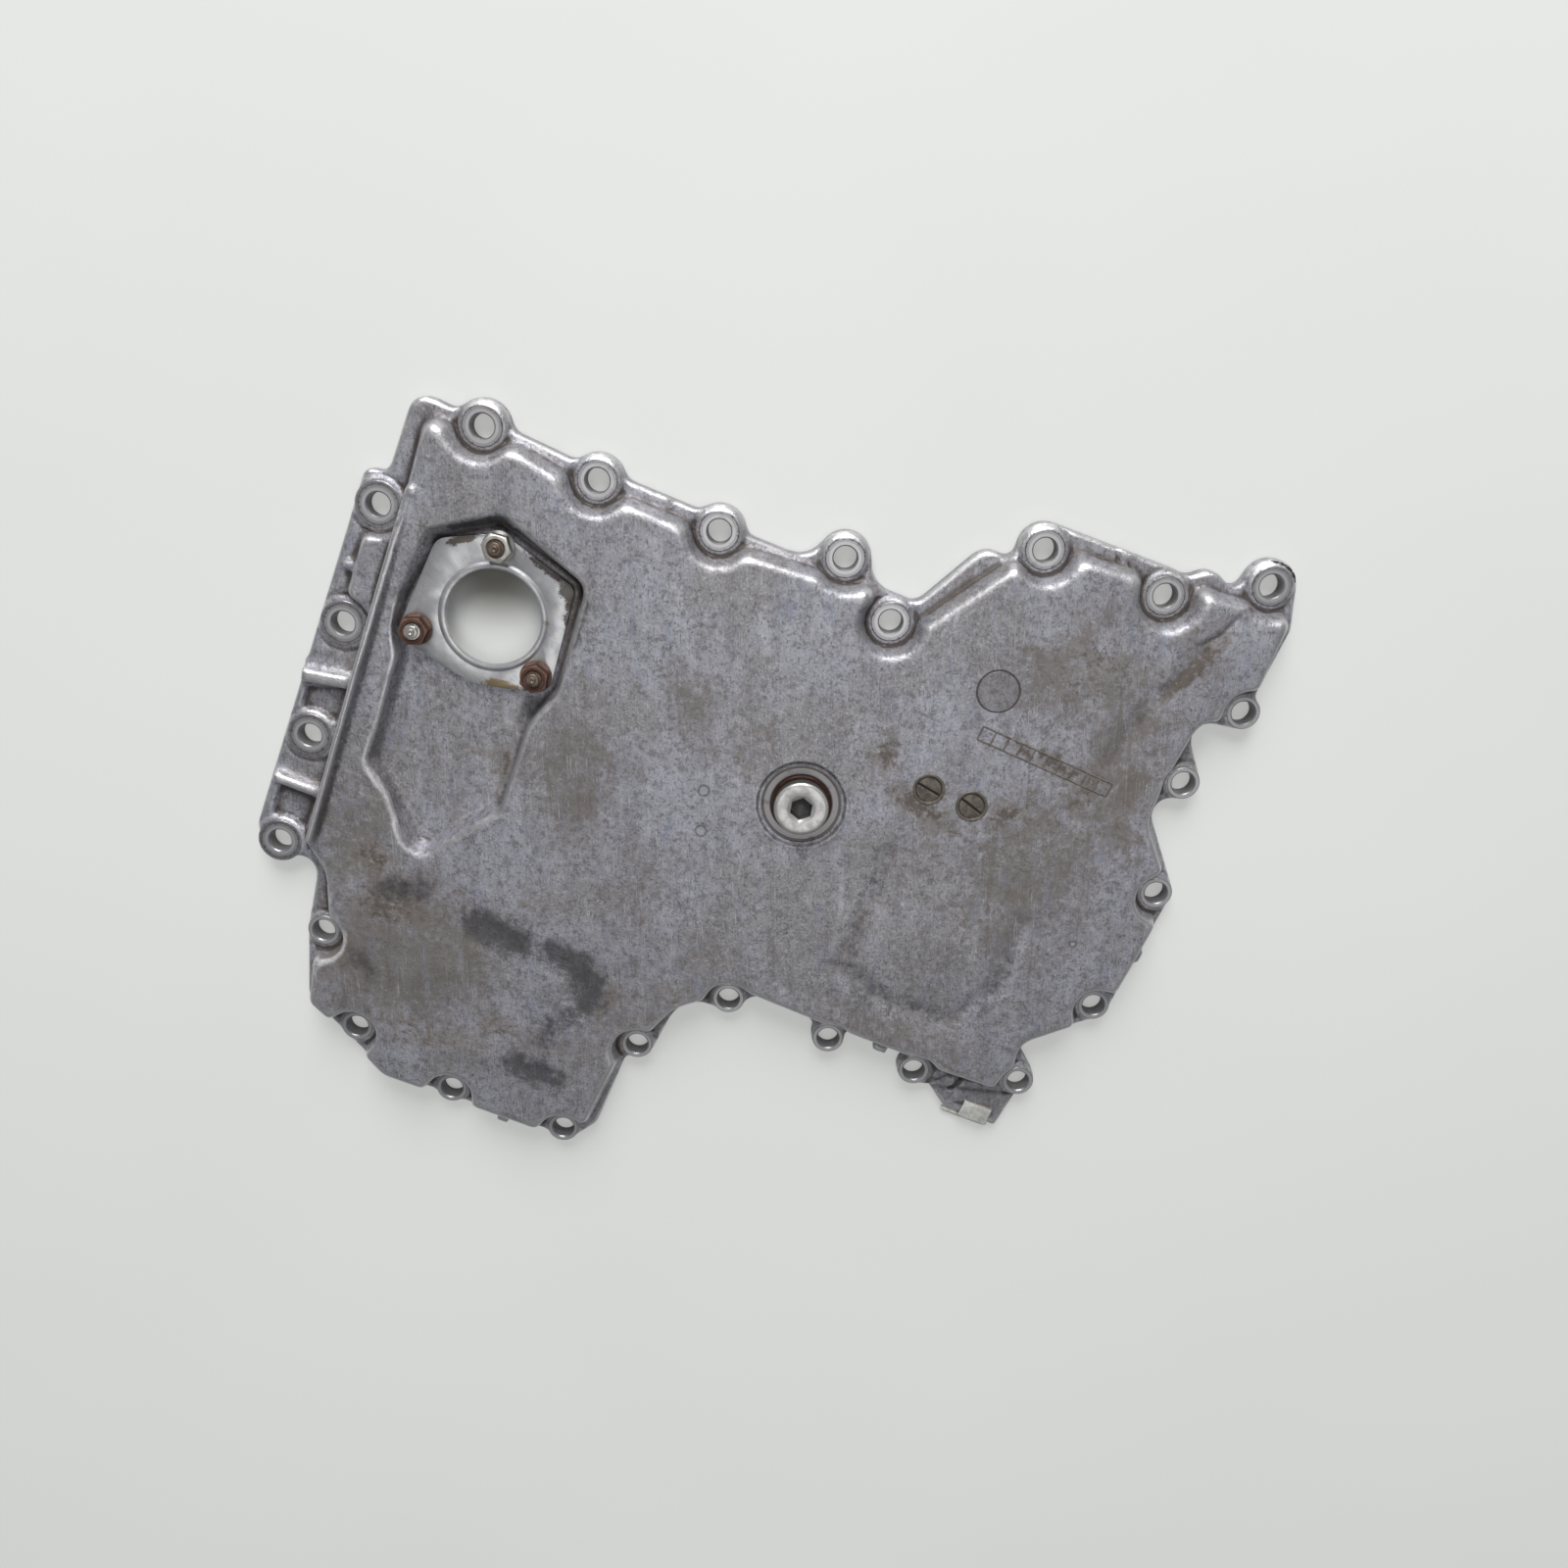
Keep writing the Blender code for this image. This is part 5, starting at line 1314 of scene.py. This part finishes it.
class OILPAN_OT_spring_clip(bpy.types.Operator):
    """Makes the bent sheet clip that hugs the bracket's edge"""

    bl_idname = "oilpan.spring_clip"
    bl_label = "Spring clip"

    def execute(self, context):
        low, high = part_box("spring_clip")
        left, right = low.x / MM, high.x / MM
        back, front = high.y / MM, low.y / MM
        top = high.z / MM
        thick = 0.8
        radius = 1.1

        def bent(inner):
            """The strip's line in (y, z): down the slot, over the bracket, down its edge."""
            line = [(back - inner, low.z / MM)]
            for centre_y, centre_z, start in ((back - radius, top - radius, 0.0),
                                              (front + radius, top - radius, 90.0)):
                for step in range(7):
                    angle = math.radians(start + 15.0 * step)
                    line.append((centre_y + (radius - inner) * math.cos(angle),
                                 centre_z + (radius - inner) * math.sin(angle)))
            line.append((front + inner, low.z / MM))
            return line

        outside, inside = bent(0.0), bent(thick)
        section = outside + inside[::-1]
        loops = []
        for x, squeeze in ((left, 0.3), (left + 0.12, 0.08), (left + 0.4, 0.0), (right - 0.4, 0.0),
                           (right - 0.12, 0.08), (right, 0.3)):
            middle = [((a[0] + b[0]) / 2, (a[1] + b[1]) / 2) for a, b in zip(outside, inside)]
            middle = middle + middle[::-1]
            loop = []
            for (y, z), (middle_y, middle_z) in zip(section, middle):
                share = squeeze / (thick / 2)
                loop.append((x, y + (middle_y - y) * share, z + (middle_z - z) * share))
            loops.append(loop)
        lip = []
        for x, share in ((133.2, 0.25), (133.5, 0.6), (134.6, 0.9), (137.0, 1.0), (152.5, 1.0),
                         (154.3, 0.85),
                         (155.1, 0.55), (155.3, 0.3)):
            lip.append([(x, front - 0.5 + share * y, 1.3 + share * z) for y, z in (
                (-1.1, -0.6), (1.2, -0.9), (1.3, 0.0), (1.0, 0.7), (-0.2, 0.9), (-1.1, 0.5), (-1.3, 0.0))])
        clip = merge("bent_clip",
                     [tidy_normals(stacked("clip_strip", loops)), tidy_normals(stacked("clip_lip", lip))])
        steel = metal_material("spring_steel", (0.74, 0.73, 0.68), (0.32, 0.27, 0.2), 0.22, 0.45, 0.42,
                               0.03, 5.0)
        dress(shade(clip, 30.0), steel, "spring_steel", "spring_clip")
        return {"FINISHED"}


def skin_surface():
    """The finished casting as a tree for finding its surface."""
    mesh = bpy.data.objects["pan_casting_skin"].data
    corners = [tuple(polygon.vertices) for polygon in mesh.polygons]
    return BVHTree.FromPolygons([vertex.co for vertex in mesh.vertices], corners)


def surface_height(surface, x, y):
    """The casting's height under a point in metres, or None beside it."""
    above = Vector((x, y, 50.0 * MM))
    hit = surface.ray_cast(above, Vector((0.0, 0.0, -1.0)))[0]
    return hit.z if hit else None


def drape(obj, surface):
    """Lays a flat piece on the casting: each point's own height is kept above the surface under it."""
    points = coords(obj.data)
    for point in points:
        found = surface_height(surface, point[0], point[1])
        point[2] += BESIDE * MM if found is None else found
    set_coords(obj.data, points)
    return obj


def ruled_box_tree():
    """Two long cast lines joined by evenly spaced rungs, all half-round."""
    graph, given, out = geometry_tree("ruled_box", Length="Float", Height="Float", Cells="Int",
                                      Line="Float",
                                      Place="Vector", Turn="Float", Material="Material")
    step = graph.maths("DIVIDE", given["Length"], given["Cells"])
    places = graph.node("GeometryNodeMeshLine", {
        "Count": graph.plus(given["Cells"], 1.0), "Offset": graph.upright(X=step)})
    rung = graph.node("GeometryNodeCurvePrimitiveLine", {"End": graph.upright(Y=given["Height"])})
    rungs = graph.node("GeometryNodeInstanceOnPoints",
                       {"Points": places.outputs[0], "Instance": rung.outputs[0]})
    low = graph.node("GeometryNodeCurvePrimitiveLine", {"End": graph.upright(X=given["Length"])}).outputs[0]
    high = graph.moved(low, graph.upright(Y=given["Height"]))
    real = graph.node("GeometryNodeRealizeInstances", {"Geometry": rungs.outputs[0]}).outputs[0]
    lines = graph.node("GeometryNodeJoinGeometry")
    for part in (low, high, real):
        graph.tree.links.new(part, lines.inputs[0])
    short = graph.node("GeometryNodeResampleCurve", {"Curve": lines.outputs[0], "Length": 0.8 * MM},
                       mode="LENGTH")
    profile = graph.node("GeometryNodeCurvePrimitiveCircle", {"Resolution": 8, "Radius": given["Line"]})
    solid = graph.node("GeometryNodeCurveToMesh", {
        "Curve": short.outputs[0], "Profile Curve": profile.outputs[0], "Fill Caps": True})
    placed = graph.moved(solid.outputs[0], given["Place"], graph.upright(Z=given["Turn"]))
    end_tree(graph, placed, given["Material"], out)
    return graph.tree


def date_dial(name, place, level, radius, turn, looks):
    """A plain round insert: a bead round a sunk face, split by a slot, with pips and no figures."""
    brown, black = looks
    rim = turned_ring(f"{name}_rim", place, [(level + height, radius + out) for height, out in (
        (-0.75, -1.1), (-0.75, 0.05), (-0.05, 0.3), (0.12, 0.25), (0.3, 0.0), (0.32, -0.35), (0.15, -0.75),
        (-0.35, -1.1))], 72)
    # The near-black disc under the slot is painted shade at the slot's floor
    base = turned(f"{name}_base", place, [(level - 0.79, radius - 1.15), (level - 0.62, radius - 1.15)], 48)
    parts = [rim]
    half = radius - 1.3
    for side in (0.0, math.pi):
        outline = []
        for step in np.linspace(0.0, math.pi, 29):
            x, y = half * math.cos(step), 0.42 + (half - 0.42) * math.sin(step)
            angle = turn + side
            outline.append((place[0] + x * math.cos(angle) - y * math.sin(angle),
                            place[1] + x * math.sin(angle) + y * math.cos(angle)))
        middle = np.mean(outline, axis=0)
        inner = [tuple(middle + (np.array(point) - middle) * 0.9) for point in outline]
        parts.append(stacked(f"{name}_half", [[(x, y, level - 0.7) for x, y in outline],
                                              [(x, y, level - 0.28) for x, y in outline],
                                              [(x, y, level - 0.14) for x, y in inner]]))
    pips, pip_ring = 12, 3.4
    for number in range(pips):
        angle = turn + math.tau * (number + 0.5) / pips
        spot = (place[0] + pip_ring * math.cos(angle), place[1] + pip_ring * math.sin(angle))
        parts.append(turned(f"{name}_pip", spot,
                            [(level - 0.4, 0.34), (level - 0.02, 0.3), (level + 0.06, 0.16)], 12))
    for part in parts:
        part.data.materials.append(brown)
    base.data.materials.append(black)
    return merge(name, [tidy_normals(part) for part in (*parts, base)])


def lumpy_bead(name, path, sizes):
    """A torn bead of sealant along a path of (x, y, z), thick and thin by turns."""
    source = np.random.default_rng(5)
    loops = []
    for (x, y, z), size in zip(path, sizes):
        lean = source.uniform(-0.25, 0.25, 2)
        rough = source.uniform(0.7, 1.25, 10)
        loops.append([(x + lean[0] + size * part * math.cos(angle),
                       y + lean[1] + 0.3 * size * part * math.cos(angle),
                       z + 0.7 * size * part * math.sin(angle))
                      for angle, part in zip(np.arange(10) * math.tau / 10, rough)])
    return tidy_normals(stacked(name, loops))


class OILPAN_OT_cast_marks(bpy.types.Operator):
    """Makes the two plain date dials, the ruled box and the torn sealant on the top right lug"""

    bl_idname = "oilpan.cast_marks"
    bl_label = "Cast marks"

    def execute(self, context):
        settings = context.scene.oilpan_marks
        surface = skin_surface()
        brown = metal_material("dial_brown", (0.16, 0.14, 0.115), (0.06, 0.05, 0.04), 0.5, 0.4, 0.45,
                               0.05, 3.0)
        # The slot's near-black floor is painted shade
        black = metal_material("dial_slot_shade", (0.02, 0.018, 0.016), (0.03, 0.025, 0.02), 0.3, 0.2, 0.7)
        dials = []
        radius = settings.dial / MM
        for number, (x, y, turn) in enumerate(DIALS, start=1):
            around = [surface_height(surface, px * MM, py * MM) for px,
                      py in circle((x, y), radius + 1.0, 12)]
            level = sum(around) / len(around) / MM
            dials.append(date_dial(f"dial_{number}", (x, y), level, radius, math.radians(turn),
                                   (brown, black)))
        dial = merge("date_dials", dials)
        dress(shade(dial, 30.0), None, "cast_aluminium")
        grey = metal_material("cast_line", (0.21, 0.19, 0.165), (0.09, 0.075, 0.06), 0.5, 0.4, 0.5, 0.06,
                              3.0)
        box = grow("ruled_box", ruled_box_tree(), {
            "Length": settings.length, "Height": settings.height, "Cells": settings.cells,
            "Line": settings.line,
            "Place": (73.3 * MM, 66.6 * MM, -0.1 * MM), "Turn": math.radians(-1.8), "Material": grey})
        dress(shade(drape(box, surface), 60.0), grey, "cast_aluminium")
        centre_x, centre_y, _ = BOLTS[7]
        path = []
        sizes = []
        for step in range(26):
            angle = math.radians(118 - 3.4 * step)
            path.append((centre_x + 9.5 * math.cos(angle), centre_y + 9.1 * math.sin(angle), 0.0))
            sizes.append(0.3 + 0.6 * abs(math.sin(step * 0.55)) * (1.0 if 1 < step < 24 else 0.4))
        sealant = drape(lumpy_bead("old_sealant", path, sizes), surface)
        black = metal_material("old_sealant", (0.012, 0.012, 0.013), (0.03, 0.028, 0.026), 0.4, 0.0, 0.6,
                               0.1, 2.0)
        dress(shade(sealant, 50.0), black, "seal_rubber")
        return {"FINISHED"}


def floor_material(stage):
    """Pale paper that keeps its brightness in the bolt holes, with a painted shadow under the sensor hole."""
    material, graph, shader, place = begin_material("pale_floor")
    clouds = graph.noise(place, 0.004, 3.0, 0.5)
    tone = tuple(stage.floor)
    colour = graph.mix(graph.spread(clouds, 0.35, 0.65), tone, tinted(tone, 0.97, 0.97, 0.965))
    shader.inputs["Roughness"].default_value = 0.8
    shader.inputs["Specular IOR Level"].default_value = 0.1
    # A painted shadow: near the far side of the sensor hole the floor turns dark
    far_side = (SENSOR[0] - 8.0, SENSOR[1] + 18.0, 0.0)
    colour = graph.mix(graph.spread(graph.distance(place, far_side), 30.0, 6.0, 0.0, 0.85), colour,
                       (0.16, 0.15, 0.12))
    graph.feed(shader.inputs["Base Color"], colour)
    glow = graph.node("ShaderNodeEmission", {"Color": tinted(tone, 0.98, 0.98, 0.97), "Strength": 1.0})
    share = graph.spread(graph.distance(place, (*SENSOR, 0.0)), 18.0, 26.0, 0.0, stage.glow)
    seen = graph.node("ShaderNodeLightPath").outputs["Is Camera Ray"]
    mixed = graph.node("ShaderNodeMixShader", {0: graph.times(share, seen), 1: shader.outputs[0],
                                               2: glow.outputs[0]})
    graph.feed(material.node_tree.nodes["Material Output"].inputs["Surface"], mixed.outputs[0])
    return material


class OILPAN_OT_stage(bpy.types.Operator):
    """Sets the pale floor, the soft lamps and the camera"""

    bl_idname = "oilpan.stage"
    bl_label = "Stage"

    def execute(self, context):
        stage = context.scene.oilpan_stage
        reach = 3.0
        level = -0.0004
        floor = mesh_object("floor",
                            [(-reach, -reach, level), (reach, -reach, level), (reach, reach, level),
                                      (-reach, reach, level)], [(0, 1, 2, 3)])
        floor.data.materials.append(floor_material(stage))
        world = bpy.data.worlds.new("even_light")
        world.use_nodes = True
        graph = Graph(world.node_tree)
        light = world.node_tree.nodes["Background"]
        graph.feed(light.inputs["Color"], (0.93, 0.95, 1.0))
        graph.feed(light.inputs["Strength"], stage.sky)
        backdrop = graph.node("ShaderNodeBackground", {"Color": tuple(stage.floor)})
        seen = graph.node("ShaderNodeLightPath").outputs["Is Camera Ray"]
        mixed = graph.node("ShaderNodeMixShader", {0: seen, 1: light.outputs[0], 2: backdrop.outputs[0]})
        graph.feed(world.node_tree.nodes["World Output"].inputs["Surface"], mixed.outputs[0])
        context.scene.world = world
        for name, power, size, place in (("key_lamp", stage.key, 1.2, (-0.65, 1.6, 1.05)),
                                         ("fill_lamp", stage.fill, 0.9, (0.1, -0.1, 1.3))):
            lamp = bpy.data.lights.new(name, "AREA")
            lamp.shape = "SQUARE"
            lamp.size = size
            lamp.energy = power
            holder = link(bpy.data.objects.new(name, lamp))
            holder.location = place
            holder.rotation_euler = (-Vector(place)).to_track_quat("-Z", "Y").to_euler()
        camera = bpy.data.cameras.new("camera")
        camera.lens = stage.lens
        camera.sensor_width = 36.0
        camera.clip_start = 0.01
        holder = link(bpy.data.objects.new("camera", camera))
        holder.location = (-0.04205, 0.15895, 0.4783)
        holder.rotation_euler = Euler((math.radians(-17.703), math.radians(0.42), math.radians(22.5)))
        context.scene.camera = holder
        context.scene.view_settings.view_transform = "Standard"
        return {"FINISHED"}


class OILPAN_PT_panel(bpy.types.Panel):
    """Lists the pieces of the oil pan and their settings"""

    bl_label = "Oil pan"
    bl_idname = "OILPAN_PT_panel"
    bl_space_type = "VIEW_3D"
    bl_region_type = "UI"
    bl_category = "Oil pan"

    def draw(self, context):
        for operator in OPERATORS:
            self.layout.operator(operator.bl_idname)
        for name in SETTINGS:
            box = self.layout.box()
            group = getattr(context.scene, name)
            for key in group.bl_rna.properties.keys():
                if key not in ("rna_type", "name"):
                    box.prop(group, key)


OPERATORS = (OILPAN_OT_casting, OILPAN_OT_cast_marks, OILPAN_OT_plate, OILPAN_OT_studs,
             OILPAN_OT_drain_plug,
             OILPAN_OT_spring_clip, OILPAN_OT_stage)
SETTINGS = {"oilpan_casting": CastingSettings, "oilpan_plate": PlateSettings,
            "oilpan_fasteners": FastenerSettings,
            "oilpan_marks": MarkSettings, "oilpan_stage": StageSettings}


def register():
    for group in SETTINGS.values():
        bpy.utils.register_class(group)
    for name, group in SETTINGS.items():
        setattr(bpy.types.Scene, name, PointerProperty(type=group))
    for operator in OPERATORS:
        bpy.utils.register_class(operator)
    bpy.utils.register_class(OILPAN_PT_panel)


def unregister():
    bpy.utils.unregister_class(OILPAN_PT_panel)
    for operator in reversed(OPERATORS):
        bpy.utils.unregister_class(operator)
    for name, group in SETTINGS.items():
        delattr(bpy.types.Scene, name)
        bpy.utils.unregister_class(group)


def main():
    register()
    bpy.ops.oilpan.casting()
    bpy.ops.oilpan.cast_marks()
    bpy.ops.oilpan.plate()
    bpy.ops.oilpan.studs()
    bpy.ops.oilpan.drain_plug()
    bpy.ops.oilpan.spring_clip()
    bpy.ops.oilpan.stage()


if __name__ == "__main__":
    main()
